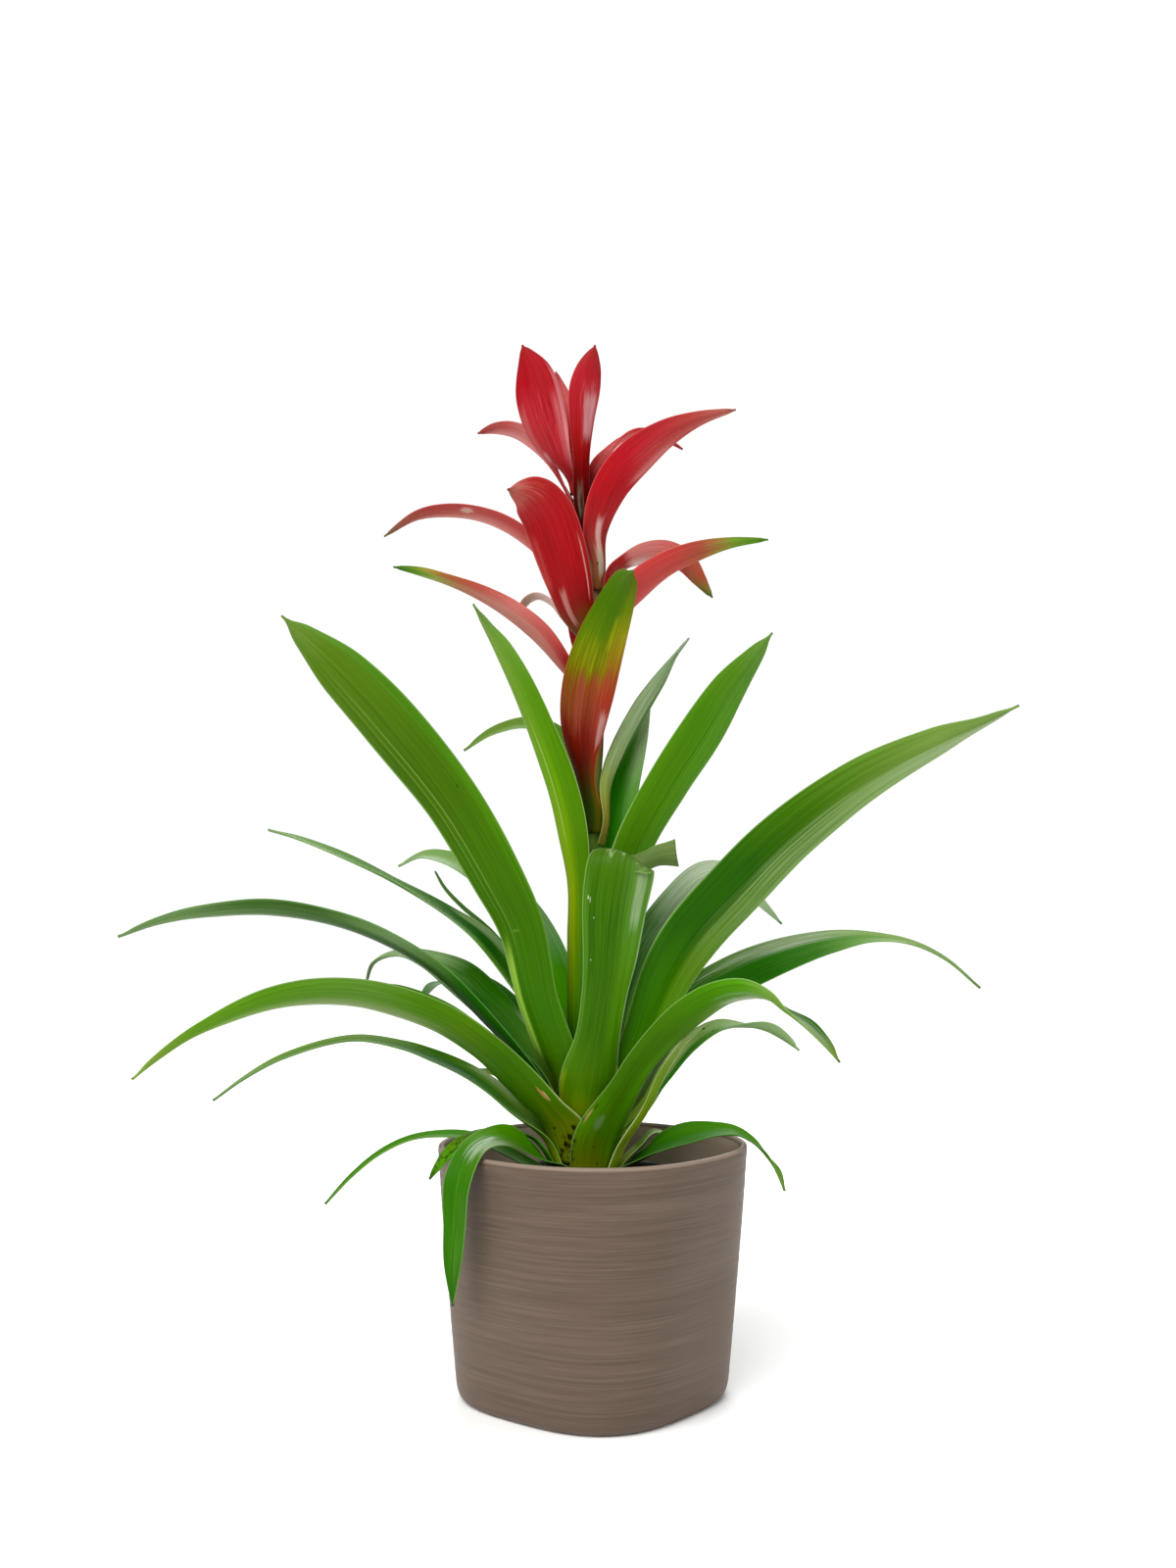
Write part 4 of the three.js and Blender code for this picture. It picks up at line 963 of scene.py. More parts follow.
# How a blade takes the light. The looks below name colours as they are seen in the light, which is brighter
# than the blade's own: depth brings them down to it, and veil takes off the white that gloss adds.
skin = {
    "gloss": 0.05, "rough": (0.34, 0.46), "relief": 0.35, "reliefDepth": 0.25, "depth": 0.72, "veil": 0.003,
    "veins": 0.13, "threads": 0.08, "fine": 60, "crumbs": 420,
    "split": (0.3, 0.7), "edge": 0.4, "edgeBand": (0.012, 0.03),
}


# The finish of one side of a blade.
def bladeFinish(name, look, seed):
    material, tree, shader = newFinish(name, roughness=0.4, gloss=skin["gloss"])
    uv = node(tree, "UVMap", {}, uv_map="UVMap")
    across = node(tree, "SeparateXYZ", {0: uv}, output=0)
    along = node(tree, "SeparateXYZ", {0: uv}, output=1)

    # noise drawn out along the blade: count fibres across it, with so many changes from foot to tip
    def fibres(count, times, detail):
        place = {"Vector": uv, "Location": (seed, 2 * seed, 0), "Scale": (count, times, 1)}
        stretched = node(tree, "Mapping", place)
        return node(tree, "TexNoise", {"Vector": stretched, "Scale": 1, "Detail": detail, "Roughness": 0.6})

    broad, veins = fibres(7, 1.6, 2), fibres(34, 2.2, 3)
    threads = fibres(look.get("fine", skin["fine"]), 4, 2)
    ragged = sums(tree, "ADD", along, mapped(tree, broad, 0.25, 0.75, -0.03, 0.03, "LINEAR"))
    ragged = sums(tree, "ADD", ragged, mapped(tree, veins, 0.25, 0.75, -0.02, 0.02, "LINEAR"))

    # fades in and out over a quarter of the area's length and three tenths of its width
    def area(first, last, left, right):
        rise, soft = 0.25 * (last - first), 0.3 * (right - left)
        mask = mapped(tree, ragged, first, first + rise)
        mask = sums(tree, "MULTIPLY", mask, mapped(tree, ragged, last, last - rise))
        mask = sums(tree, "MULTIPLY", mask, mapped(tree, across, left, left + soft))
        return sums(tree, "MULTIPLY", mask, mapped(tree, across, right, right - soft))

    # lays each patch, streak or rot area over the tone; many patches, streaks and marks are painted sheen
    # and highlights
    def laid(tone, kind, grain, low, high, least):
        for *place, hexCode, strength in look.get(kind, ()):
            share = mapped(tree, grain, low, high, least * strength, strength)
            tone = mixed(tree, sums(tree, "MULTIPLY", area(*place), share), tone, colour(hexCode))
        return tone

    def marked(tone, u, v, wide, tall, hexCode, strength):
        apart = node(tree, "VectorMath", {0: uv, 1: (u, v, 0)}, operation="SUBTRACT")
        apart = node(tree, "VectorMath", {0: apart, 1: (1 / wide, 1 / tall, 0)}, operation="MULTIPLY")
        reach = node(tree, "VectorMath", {0: apart}, output=1, operation="LENGTH")
        reach = sums(tree, "ADD", reach, mapped(tree, threads, *noiseSpan, -0.3, 0.3, "LINEAR"))
        return mixed(tree, mapped(tree, reach, 1, 0.55, 0, strength), tone, colour(hexCode))

    half = mapped(tree, across, *look.get("split", skin["split"]))
    tone = mixed(tree, half, ramp(tree, ragged, look["left"]), ramp(tree, ragged, look["right"]))
    tone = laid(tone, "patches", veins, 0.3, 0.6, 0.55)
    tone = laid(tone, "streaks", threads, 0.5, 0.6, 0)
    for mark in look.get("marks", ()):
        tone = marked(tone, *mark)
    if look.get("rot"):
        crumbly = {"Vector": objectPlace(tree), "Scale": skin["crumbs"], "Detail": 4, "Roughness": 0.7}
        tone = laid(tone, "rot", node(tree, "TexNoise", crumbly), 0.5, 0.56, 0)
    depth, vein, thread = skin["depth"], look.get("veins", skin["veins"]), skin["threads"]
    shade = mapped(tree, veins, *noiseSpan, depth * (1 - vein), depth * (1 + vein))
    shade = sums(tree, "MULTIPLY", shade, mapped(tree, threads, *noiseSpan, 1 - thread, 1 + thread))
    tone = shaded(tree, tone, shade)
    tone = node(tree, "VectorMath", {0: tone, 1: [skin["veil"]] * 3}, operation="SUBTRACT")
    tone = node(tree, "VectorMath", {0: tone, 1: (0, 0, 0)}, operation="MAXIMUM")
    edge = sums(tree, "MINIMUM", across, sums(tree, "SUBTRACT", 1, across))
    edge = mapped(tree, edge, *skin["edgeBand"], look.get("edge", skin["edge"]), 0)
    tree.links.new(mixed(tree, edge, tone, colour(look["margin"])), shader.inputs["Base Color"])
    tree.links.new(mapped(tree, veins, *noiseSpan, *skin["rough"]), shader.inputs["Roughness"])
    relief = sums(tree, "ADD", veins, sums(tree, "MULTIPLY", threads, 0.4))
    bump(tree, shader, relief, skin["relief"], skin["reliefDepth"])
    return material


# Looks. The colours run up a blade's left and right halves, seen from outside with its tip up, and
# blend over its split. Patches, streaks and rot are (from, to, left, right, colour, strength), and marks
# are (across, along, half width, half height, colour, strength), all as shares of the blade. What inner
# holds is for the inner side. Besides the blades' own colours the looks hold painted light: pale
# grey-green, whitish and pink stops, patches, streaks and marks that are painted sheen and highlights,
# dark stops that are painted shade, and bright stops that lift blades deep in the rosette out of
# their shade. The note above a look says where.

midGreen = {
    "margin": "#8cb064",
    "left": [(0, "#7c8c1c"), (0.1, "#467c0c"), (0.3, "#3c740a"), (0.7, "#447a12"), (1, "#5d8f30")],
    "right": [(0, "#7c8c1c"), (0.1, "#48800c"), (0.3, "#458210"), (0.7, "#4c8818"), (1, "#628f34")],
}
deepGreen = {
    "margin": "#6a9450",
    "left": [(0, "#5c8420"), (0.12, "#2c6a0c"), (0.4, "#215c0a"), (0.8, "#30681c"), (1, "#5a8448")],
    "right": [(0, "#5c8420"), (0.12, "#2f700c"), (0.4, "#2a680e"), (0.8, "#407830"), (1, "#5a8448")],
}
red = {
    "margin": "#cc6a64",
    "left": [(0, "#7a6a34"), (0.1, "#7a181a"), (0.3, "#a41c22"), (0.7, "#b2222a"), (1, "#9c3a30")],
    "right": [(0, "#7a6a34"), (0.1, "#861a1c"), (0.3, "#ac1f26"), (0.7, "#b8282e"), (1, "#9c3a30")],
}
looks = {
    # leaf_01: the grey-green past 0.86 is painted sheen on the folded-over tip, the band across at 0.826 to
    # 0.846 a painted highlight on the crest of the fold, and the pale patch at 0.6 to 0.83 on the right a
    # painted sheen
    "leaf_01": {
        **midGreen, "split": (0.45, 0.85),
        "left": [
            (0, "#5c7a08"), (0.07, "#7c9a08"), (0.14, "#54860a"), (0.3, "#3c6e08"), (0.62, "#386a08"),
            (0.8, "#447210"), (0.86, "#668240"), (1, "#6f8848"),
        ],
        "right": [
            (0, "#5c7a08"), (0.07, "#6a9008"), (0.14, "#4c8808"), (0.25, "#4c8a08"), (0.35, "#528e0c"),
            (0.5, "#589014"), (0.65, "#58902a"), (0.8, "#64903c"), (0.86, "#5c7c38"), (1, "#6f8848"),
        ],
        "patches": [
            (0.12, 0.83, -0.1, 0.14, "#649a30", 0.6), (0.6, 0.83, 0.72, 0.92, "#a8c090", 0.7),
            (0.12, 0.82, 0.955, 1.1, "#b8cfa0", 0.8), (0.826, 0.846, -0.1, 1.1, "#9ab87c", 0.6),
            (0.04, 0.19, -0.1, 0.13, "#94b01a", 0.8),
        ],
        "streaks": [(0.87, 1.05, 0, 1, "#44582c", 0.4), (0.15, 0.8, 0.1, 0.7, "#5a8a20", 0.3)],
        "marks": [
            (0.1, 0.69, 0.02, 0.006, "#c8d8b4", 0.7), (0.13, 0.685, 0.01, 0.008, "#c8d8b4", 0.7),
            (0.16, 0.52, 0.012, 0.004, "#c8d8b4", 0.7), (0.2, 0.64, 0.01, 0.003, "#c8d8b4", 0.6),
            (0.99, 0.2, 0.05, 0.03, "#b4c840", 0.8),
        ],
    },
    # leaf_02: the light patches along the left margin, from 0.06 to 0.95, are painted highlights
    "leaf_02": {
        **midGreen, "split": (0.76, 0.97),
        "left": [
            (0, "#7c8c20"), (0.08, "#4c7c0a"), (0.2, "#3f7a04"), (0.4, "#447606"), (0.7, "#4a7410"),
            (0.9, "#5c841a"), (1, "#76963f"),
        ],
        "right": [
            (0, "#7c8c20"), (0.08, "#4f860a"), (0.2, "#4a8608"), (0.5, "#508a10"), (0.8, "#528c1c"),
            (1, "#6a983c"),
        ],
        "patches": [
            (0.06, 0.36, -0.1, 0.24, "#b4e458", 0.8), (0.12, 0.95, -0.1, 0.06, "#8cb460", 0.7),
            (0.2, 0.96, 0.31, 0.335, "#86ac50", 0.7), (0.25, 0.92, 0.215, 0.235, "#7aa444", 0.6),
            (0.3, 0.9, 0.12, 0.14, "#6f9a38", 0.5), (0.1, 0.62, 0.9, 0.935, "#33640a", 0.5),
        ],
        "marks": [(0.75, 0.62, 0.02, 0.004, "#2c4a10", 0.7), (0.42, 0.36, 0.09, 0.004, "#6c9440", 0.6)],
    },
    # leaf_03: the dark green low on the blade is painted shade on the inner side of its channel, and the
    # yellow-green in its middle is partly painted light shining through the blade
    "leaf_03": {
        "split": (0.3, 0.72), "margin": "#b8d090",
        "left": [
            (0, "#2c6a04"), (0.12, "#3c7a04"), (0.22, "#6a940a"), (0.35, "#8aa80c"), (0.5, "#86b010"),
            (0.65, "#76ac14"), (0.8, "#78a62c"), (0.92, "#84ac40"), (1, "#86a058"),
        ],
        "right": [
            (0, "#2c6a04"), (0.12, "#2c6c04"), (0.22, "#3c7c04"), (0.35, "#588e06"), (0.5, "#568a06"),
            (0.65, "#568e08"), (0.8, "#5c9218"), (0.92, "#6f9c38"), (1, "#6a9048"),
        ],
        "patches": [
            (0.3, 0.97, -0.1, 0.08, "#b4cc8c", 0.7), (0.48, 0.78, 0.32, 0.37, "#b4d070", 0.6),
            (0.26, 0.45, 0.1, 0.5, "#a4b40c", 0.5), (0.12, 0.43, 0.18, 0.23, "#b88c40", 0.4),
        ],
    },
    "leaf_04": {
        **midGreen, "split": (0.4, 0.66),
        "left": [
            (0, "#5c8420"), (0.2, "#346c0a"), (0.45, "#4a7e0a"), (0.6, "#50860e"), (0.8, "#4c8612"),
            (0.92, "#5a8c20"), (1, "#6f9a44"),
        ],
        "right": [
            (0, "#6c9426"), (0.2, "#407c0a"), (0.45, "#54920e"), (0.6, "#5a9a14"), (0.8, "#5c9a24"),
            (0.92, "#5c9030"), (1, "#6f9a44"),
        ],
        "patches": [
            (0.35, 0.92, 0.52, 0.55, "#306408", 0.75), (0.35, 0.85, 0.6, 0.62, "#386c0c", 0.6),
            (0.3, 0.62, -0.1, 0.05, "#9cbc6c", 0.7), (0.3, 0.8, 0.95, 1.1, "#9cc074", 0.7),
            (0.3, 0.75, 0.24, 0.27, "#3c700c", 0.5),
        ],
    },
    # leaf_05: the lighter grey-green of its lower half and the pale streaks over it are painted sheen
    "leaf_05": {
        **midGreen, "split": (0.5, 0.74),
        "left": [
            (0, "#58940c"), (0.1, "#4c9008"), (0.25, "#3f8402"), (0.38, "#2c6402"), (0.52, "#2c6202"),
            (0.65, "#44740e"), (0.75, "#5c8824"), (0.88, "#7a9c44"), (1, "#7c9c50"),
        ],
        "right": [
            (0, "#58940c"), (0.1, "#6cae10"), (0.2, "#76ba18"), (0.32, "#6ca020"), (0.45, "#649232"),
            (0.6, "#6c9444"), (0.75, "#86a85c"), (0.9, "#a0b884"), (1, "#a0b48c"),
        ],
        "patches": [
            (0.06, 0.46, -0.1, 0.045, "#8cb064", 0.8), (0.32, 0.96, 0.62, 0.65, "#9cb878", 0.6),
            (0.4, 0.95, 0.76, 0.79, "#9cb878", 0.55), (0.36, 0.92, 0.9, 1.05, "#94b474", 0.5),
        ],
        "streaks": [(0.28, 1.05, 0.45, 1.05, "#9cb47c", 0.5)],
    },
    # leaf_06: the grey-green band and the pale streaks are painted sheen
    "leaf_06": {
        **deepGreen, "split": (0.66, 0.82),
        "left": [
            (0, "#4c7a14"), (0.2, "#2c6404"), (0.35, "#30640a"), (0.5, "#30600c"), (0.6, "#44702a"),
            (0.75, "#5c8044"), (0.88, "#769858"), (1, "#789c60"),
        ],
        "right": [
            (0, "#4c7a14"), (0.2, "#267004"), (0.36, "#267004"), (0.42, "#5c8c3c"), (0.5, "#7aa064"),
            (0.57, "#6a944c"), (0.65, "#447024"), (0.78, "#487428"), (0.88, "#6a924c"), (1, "#7c9e60"),
        ],
        "streaks": [(0.42, 1.05, 0.75, 1.05, "#a0bc8c", 0.35), (0.55, 0.9, 0.6, 1.05, "#2c5c14", 0.5)],
        "marks": [(0.05, 0.14, 0.05, 0.035, "#d0b470", 0.9), (0.12, 0.12, 0.05, 0.02, "#4a3010", 0.8)],
    },
    # leaf_07: the near-white band along its lower edge is painted sheen
    "leaf_07": {
        **midGreen, "split": (0.3, 0.62),
        "left": [
            (0, "#6c7c14"), (0.1, "#4c7a0a"), (0.2, "#3c7006"), (0.35, "#4c7a14"), (0.45, "#7c9a4c"),
            (0.6, "#8aa65c"), (0.75, "#7ca83c"), (0.9, "#8ab040"), (1, "#94b050"),
        ],
        "right": [
            (0, "#748414"), (0.08, "#68800c"), (0.15, "#487808"), (0.25, "#427406"), (0.35, "#54840e"),
            (0.45, "#508610"), (0.55, "#649434"), (0.7, "#5c981a"), (0.85, "#6ca420"), (1, "#94b050"),
        ],
        "patches": [
            (-0.1, 0.13, 0.5, 1.1, "#84901a", 0.5), (0.02, 0.17, 0.965, 1.1, "#c8cc8c", 0.85),
            (0.35, 0.75, 0.12, 0.26, "#a8bc90", 0.5), (0.26, 1.05, -0.1, 0.16, "#c0d0a8", 0.8),
        ],
        "streaks": [(0.4, 1, 0.3, 1.05, "#84b830", 0.35), (0.45, 1, 0.3, 0.9, "#407010", 0.3)],
        "rot": [(-0.05, 0.075, 0.62, 0.98, "#241a08", 0.9), (-0.05, 0.04, 0.4, 0.7, "#2c2008", 0.6)],
        "marks": [
            (0.25, 0.09, 0.02, 0.004, "#1c1c08", 0.9), (0.6, 0.08, 0.025, 0.004, "#1c1c08", 0.9),
            (0.55, 0.062, 0.012, 0.003, "#1c1c08", 0.8), (0.38, 0.11, 0.01, 0.003, "#1c1c08", 0.8),
            (0.86, 0.076, 0.04, 0.008, "#1c1408", 0.9), (0.78, 0.058, 0.04, 0.009, "#1c1408", 0.9),
            (0.7, 0.044, 0.05, 0.008, "#1c1408", 0.9), (0.62, 0.03, 0.05, 0.008, "#241a08", 0.8),
            (0.56, 0.02, 0.04, 0.006, "#1c1408", 0.8), (0.8, 0.152, 0.035, 0.02, "#c48c4c", 0.9),
            (0.84, 0.145, 0.02, 0.012, "#e0b884", 0.8),
        ],
    },
    # leaf_08: the grey-green stops, the whitish patch and the pale streaks are painted sheen, and the
    # bright green near its foot is painted light lifting it out of the shade there
    "leaf_08": {
        **deepGreen, "split": (0.2, 0.8),
        "left": [
            (0, "#6a8414"), (0.12, "#7cac1c"), (0.25, "#7cac2c"), (0.38, "#549828"), (0.5, "#347c08"),
            (0.62, "#347010"), (0.72, "#86a86c"), (0.85, "#86a86c"), (1, "#86a86c"),
        ],
        "right": [
            (0, "#6a8414"), (0.15, "#6c9c14"), (0.3, "#347c04"), (0.45, "#1c6000"), (0.58, "#205e04"),
            (0.7, "#4c7c24"), (0.85, "#7a9c5c"), (1, "#7c9874"),
        ],
        "patches": [(0.16, 0.45, 0.02, 0.16, "#a8c09c", 0.7)],
        "streaks": [(0.28, 0.95, 0.1, 0.95, "#7a9c64", 0.35)],
    },
    "leaf_09": {
        **midGreen, "split": (0.2, 0.42),
        "left": [
            (0, "#5c7c14"), (0.1, "#58960a"), (0.2, "#8ab048"), (0.3, "#6a9c30"), (0.42, "#3c7414"),
            (0.52, "#6a9440"), (0.65, "#7a9f4c"), (0.8, "#76a040"), (1, "#8aac70"),
        ],
        "right": [
            (0, "#8a9c14"), (0.12, "#5c9008"), (0.25, "#3c8002"), (0.35, "#1c6400"), (0.45, "#347410"),
            (0.6, "#5c8c28"), (1, "#7aa060"),
        ],
        "patches": [(0.15, 0.35, -0.1, 0.22, "#c8e0ac", 0.8)],
    },
    "leaf_10": {
        "margin": "#8cc050",
        "left": [(0, "#6a9a14"), (0.3, "#5c9812"), (0.6, "#62ac08"), (0.85, "#5aa408"), (1, "#6aa028")],
        "right": [(0, "#6a9a14"), (0.3, "#549012"), (0.6, "#58a008"), (0.85, "#509a08"), (1, "#6aa028")],
    },
    "leaf_11": {
        **midGreen, "split": (0.5, 0.8),
        "left": [
            (0, "#3c700c"), (0.25, "#4c900c"), (0.33, "#3c7c0c"), (0.42, "#1c5c04"), (0.52, "#24600c"),
            (0.62, "#4c7c30"), (0.75, "#5c8c44"), (0.9, "#7a9c5c"), (1, "#8aa870"),
        ],
        "right": [
            (0, "#4c800c"), (0.25, "#54a004"), (0.45, "#54980c"), (0.55, "#3c7a14"), (0.65, "#5c8c3c"),
            (0.75, "#6a9844"), (0.9, "#789f50"), (1, "#8aa870"),
        ],
        "patches": [(0.34, 0.55, -0.1, 0.3, "#90ac74", 0.75)],
    },
    "leaf_12": {
        "margin": "#7a9c60",
        "left": [(0, "#3c700c"), (0.5, "#3a6c1a"), (1, "#5a8440")],
        "right": [(0, "#3c700c"), (0.5, "#3a6c1a"), (1, "#5a8440")],
    },
    # leaf_13: the bright greens low on the blade are painted light lifting it out of the shade of the
    # rosette
    "leaf_13": {
        **deepGreen, "split": (0.3, 0.8),
        "left": [
            (0, "#4c8a0c"), (0.2, "#58b408"), (0.35, "#46940a"), (0.45, "#6a9c58"), (0.6, "#6a8c50"),
            (0.8, "#76a050"), (1, "#8aac68"),
        ],
        "right": [
            (0, "#4c8a0c"), (0.25, "#54ac08"), (0.35, "#64bc0c"), (0.5, "#5c9434"), (0.7, "#7aa050"),
            (0.85, "#98b880"), (1, "#98b880"),
        ],
    },
    "leaf_14": {
        "margin": "#9cbc7c",
        "left": [(0, "#3c700c"), (0.5, "#3c7610"), (0.75, "#528a1c"), (0.88, "#6a8c34"), (1, "#6a8c34")],
        "right": [(0, "#3c700c"), (0.5, "#3c7610"), (0.75, "#6f9c3c"), (0.88, "#789c48"), (1, "#6a8c34")],
    },
    # leaf_15: the pale grey band of its left stops and the white streaks are painted sheen
    "leaf_15": {
        "split": (0.6, 0.78), "margin": "#a8bc8c", "veins": 0.25, "fine": 22,
        "left": [
            (0, "#8a8c1c"), (0.1, "#b09c3c"), (0.22, "#a4b04c"), (0.35, "#a0b86a"), (0.5, "#9cb478"),
            (0.7, "#98b080"), (0.85, "#8aa674"), (1, "#a0b094"),
        ],
        "right": [
            (0, "#6a7c1c"), (0.1, "#4c7c14"), (0.3, "#246404"), (0.45, "#2c6808"), (0.6, "#4c7c2c"),
            (0.8, "#7a9c60"), (1, "#a0b094"),
        ],
        "patches": [(0.25, 0.78, -0.1, 0.08, "#1a4c0e", 0.7), (0.02, 0.2, 0.3, 0.8, "#a03c20", 0.5)],
        "streaks": [(0.15, 0.92, 0.05, 0.7, "#44742e", 0.75), (0.2, 0.9, 0.1, 0.75, "#dce4cc", 0.4)],
    },
    "leaf_16": {
        **deepGreen, "split": (0.25, 0.6), "fine": 30,
        # inner side: its bright greens are painted light that lifts it out of the shade of the blades in
        # front, and its pale grey-greens and streaks are painted sheen
        "inner": {
            "left": [
                (0, "#3c700c"), (0.5, "#349c04"), (0.65, "#3c9c0c"), (0.75, "#66a83c"),
                (0.85, "#98bc7c"), (1, "#a8c098"),
            ],
            "right": [
                (0, "#3c700c"), (0.5, "#46ac06"), (0.64, "#3ca004"), (0.74, "#2c8c04"),
                (0.85, "#3c8c0c"), (1, "#5c9c3c"),
            ],
            "streaks": [(0.6, 1, 0.05, 0.5, "#8cac74", 0.45)],
        },
    },
    # leaf_17: the pale grey stops and whitish streaks are painted sheen, and the bright green low down is
    # painted light against the shade there
    "leaf_17": {
        "split": (0.2, 0.75), "margin": "#8aa880", "fine": 34,
        "left": [
            (0, "#5c8c1c"), (0.25, "#6cb430"), (0.38, "#44941c"), (0.48, "#4c8430"), (0.56, "#769c60"),
            (0.64, "#a8b894"), (0.74, "#98b480"), (0.85, "#a8bc94"), (1, "#8aac74"),
        ],
        "right": [
            (0, "#5c8c1c"), (0.3, "#3c8c10"), (0.45, "#3f8a14"), (0.55, "#44742c"), (0.64, "#90a87c"),
            (0.74, "#b8c8a8"), (0.85, "#a8bc94"), (1, "#8aac74"),
        ],
        "streaks": [(0.3, 0.85, 0.05, 0.95, "#c0ccb4", 0.6), (0.3, 0.8, 0.1, 0.9, "#0f3c08", 0.6)],
    },
    # leaf_18: the grey-green stops and the whitish streaks are painted sheen
    "leaf_18": {
        **deepGreen, "split": (0.6, 0.8), "fine": 34,
        "left": [
            (0, "#24600c"), (0.35, "#246c0a"), (0.5, "#2c740c"), (0.62, "#44802a"), (0.7, "#6a9c48"),
            (0.8, "#8aac64"), (1, "#7a9c50"),
        ],
        "right": [
            (0, "#24600c"), (0.3, "#2c6c0a"), (0.42, "#5c8c34"), (0.52, "#8ca474"), (0.62, "#8ca474"),
            (0.72, "#8aac64"), (0.85, "#8aac64"), (1, "#7a9c50"),
        ],
        "streaks": [(0.32, 0.75, 0.6, 1, "#c8d4bc", 0.7), (0.3, 0.7, 0, 0.6, "#1c5008", 0.4)],
    },
    # leaf_19: the whitish streaks and the pale stops near 0.74 are painted sheen, the soft mark at (0.33,
    # 0.15) is a painted highlight, and the inner side's pale stops and streaks are painted sheen as well
    "leaf_19": {
        **midGreen, "split": (0.4, 0.8),
        "left": [
            (0, "#7c8410"), (0.06, "#6a840c"), (0.14, "#549010"), (0.25, "#44760a"), (0.45, "#467808"),
            (0.6, "#4c8a08"), (0.7, "#58a018"), (0.76, "#84b048"), (0.84, "#84b048"), (1, "#5c8a24"),
        ],
        "right": [
            (0, "#7c9010"), (0.06, "#68a80c"), (0.14, "#5ea60a"), (0.25, "#58a00a"), (0.35, "#5c9c14"),
            (0.48, "#4c8014"), (0.58, "#5c8c24"), (0.66, "#80a054"), (0.74, "#b8c898"),
            (0.84, "#a0b880"), (1, "#5c8a24"),
        ],
        "patches": [
            (0.15, 0.64, 0.93, 1.05, "#a8c084", 0.8), (-0.1, 0.1, -0.1, 0.05, "#34280f", 0.6),
            (-0.1, 0.14, 0.95, 1.1, "#c0b080", 0.7),
        ],
        "streaks": [(0.6, 0.82, 0.35, 1.05, "#e0e8d8", 0.6), (0.2, 0.8, 0, 1, "#34680c", 0.25)],
        "rot": [(-0.1, 0.2, -0.1, 0.07, "#2c200c", 0.95), (0.02, 0.12, -0.1, 0.12, "#2c200c", 0.6)],
        "marks": [
            (0.33, 0.15, 0.1, 0.03, "#86a070", 0.45), (0.07, 0.155, 0.025, 0.03, "#c49c60", 0.9),
            (0.1, 0.185, 0.02, 0.014, "#3c2c10", 0.8), (0.4, 0.08, 0.014, 0.003, "#1c1c08", 0.8),
            (0.5, 0.03, 0.02, 0.004, "#1c1c08", 0.8),
        ],
        "inner": {
            "left": [
                (0, "#4c8a10"), (0.78, "#4c8a10"), (0.84, "#94b080"), (0.95, "#7a9c50"), (1, "#8a9430"),
            ],
            "right": [
                (0, "#3c6c28"), (0.8, "#3c6c28"), (0.9, "#2c6414"), (0.96, "#5c8430"), (1, "#8a9430"),
            ],
            "patches": [],
            "streaks": [(0.8, 0.98, 0, 1, "#b4c4a8", 0.6)],
            "rot": [],
            "marks": [],
        },
    },
    # leaf_20: the whitish streaks are painted sheen
    "leaf_20": {
        **deepGreen, "split": (0.35, 0.65), "fine": 30,
        "left": [
            (0, "#6a8c14"), (0.12, "#7cac20"), (0.22, "#2c7c04"), (0.4, "#2c7c0c"), (0.55, "#2c6c10"),
            (0.65, "#4c8028"), (0.8, "#8aac70"), (1, "#94b478"),
        ],
        "right": [
            (0, "#6a8c14"), (0.12, "#a0c830"), (0.25, "#98bc30"), (0.35, "#98b850"), (0.5, "#98b060"),
            (0.6, "#6a8c40"), (0.7, "#8aa86c"), (1, "#7aa85c"),
        ],
        "streaks": [(0.12, 0.6, 0.3, 1.05, "#b8c8a8", 0.45), (0.1, 0.6, 0.5, 1, "#2c6c08", 0.4)],
        "marks": [(0.8, 0.62, 0.05, 0.008, "#1c3410", 0.8), (0.5, 0.65, 0.05, 0.006, "#1c3410", 0.8)],
    },
    "leaf_21": {
        **midGreen, "split": (0.35, 0.75), "edge": 0.2,
        "left": [
            (0, "#2c5c04"), (0.2, "#245800"), (0.35, "#2c6400"), (0.5, "#347400"), (0.7, "#3c8000"),
            (0.85, "#5c9424"), (1, "#7a9c40"),
        ],
        "right": [
            (0, "#2c5c04"), (0.2, "#245800"), (0.35, "#347000"), (0.5, "#408004"), (0.7, "#488a00"),
            (0.85, "#5c9418"), (1, "#7a9c40"),
        ],
    },
    # leaf_22: the pale stops and whitish streaks at its fold are painted sheen, and the bright green near
    # its foot is painted light lifting it out of the shade
    "leaf_22": {
        **midGreen, "split": (0.3, 0.7), "fine": 34,
        "left": [
            (0, "#3c8006"), (0.2, "#54a404"), (0.33, "#4c8c10"), (0.42, "#5c9034"), (0.5, "#3c7a0c"),
            (0.6, "#347404"), (0.8, "#347404"), (1, "#2c680a"),
        ],
        "right": [
            (0, "#3c8006"), (0.2, "#3c8404"), (0.33, "#5c8430"), (0.4, "#94ac80"), (0.46, "#a0b88c"),
            (0.51, "#4c8020"), (0.6, "#347406"), (0.8, "#387808"), (1, "#2c680a"),
        ],
        "streaks": [(0.36, 0.53, 0.2, 0.8, "#dce6d8", 0.8), (0.52, 0.97, 0.2, 0.95, "#6a9c34", 0.35)],
    },
    # leaf_23: the brighter green at its foot is painted light lifting it out of the shade there
    "leaf_23": {
        **midGreen,
        "left": [(0, "#4c8c0c"), (0.2, "#58a40c"), (0.4, "#468c0e"), (1, "#4a841c")],
        "right": [(0, "#4c8c0c"), (0.2, "#58a40c"), (0.4, "#4a8a14"), (1, "#5a9030")],
    },
    "leaf_24": {
        "margin": "#6aa430",
        "left": [
            (0, "#3c780c"), (0.5, "#429006"), (0.66, "#44700c"), (0.78, "#5c8c10"), (0.95, "#4c8c0c"),
            (1, "#3a3410"),
        ],
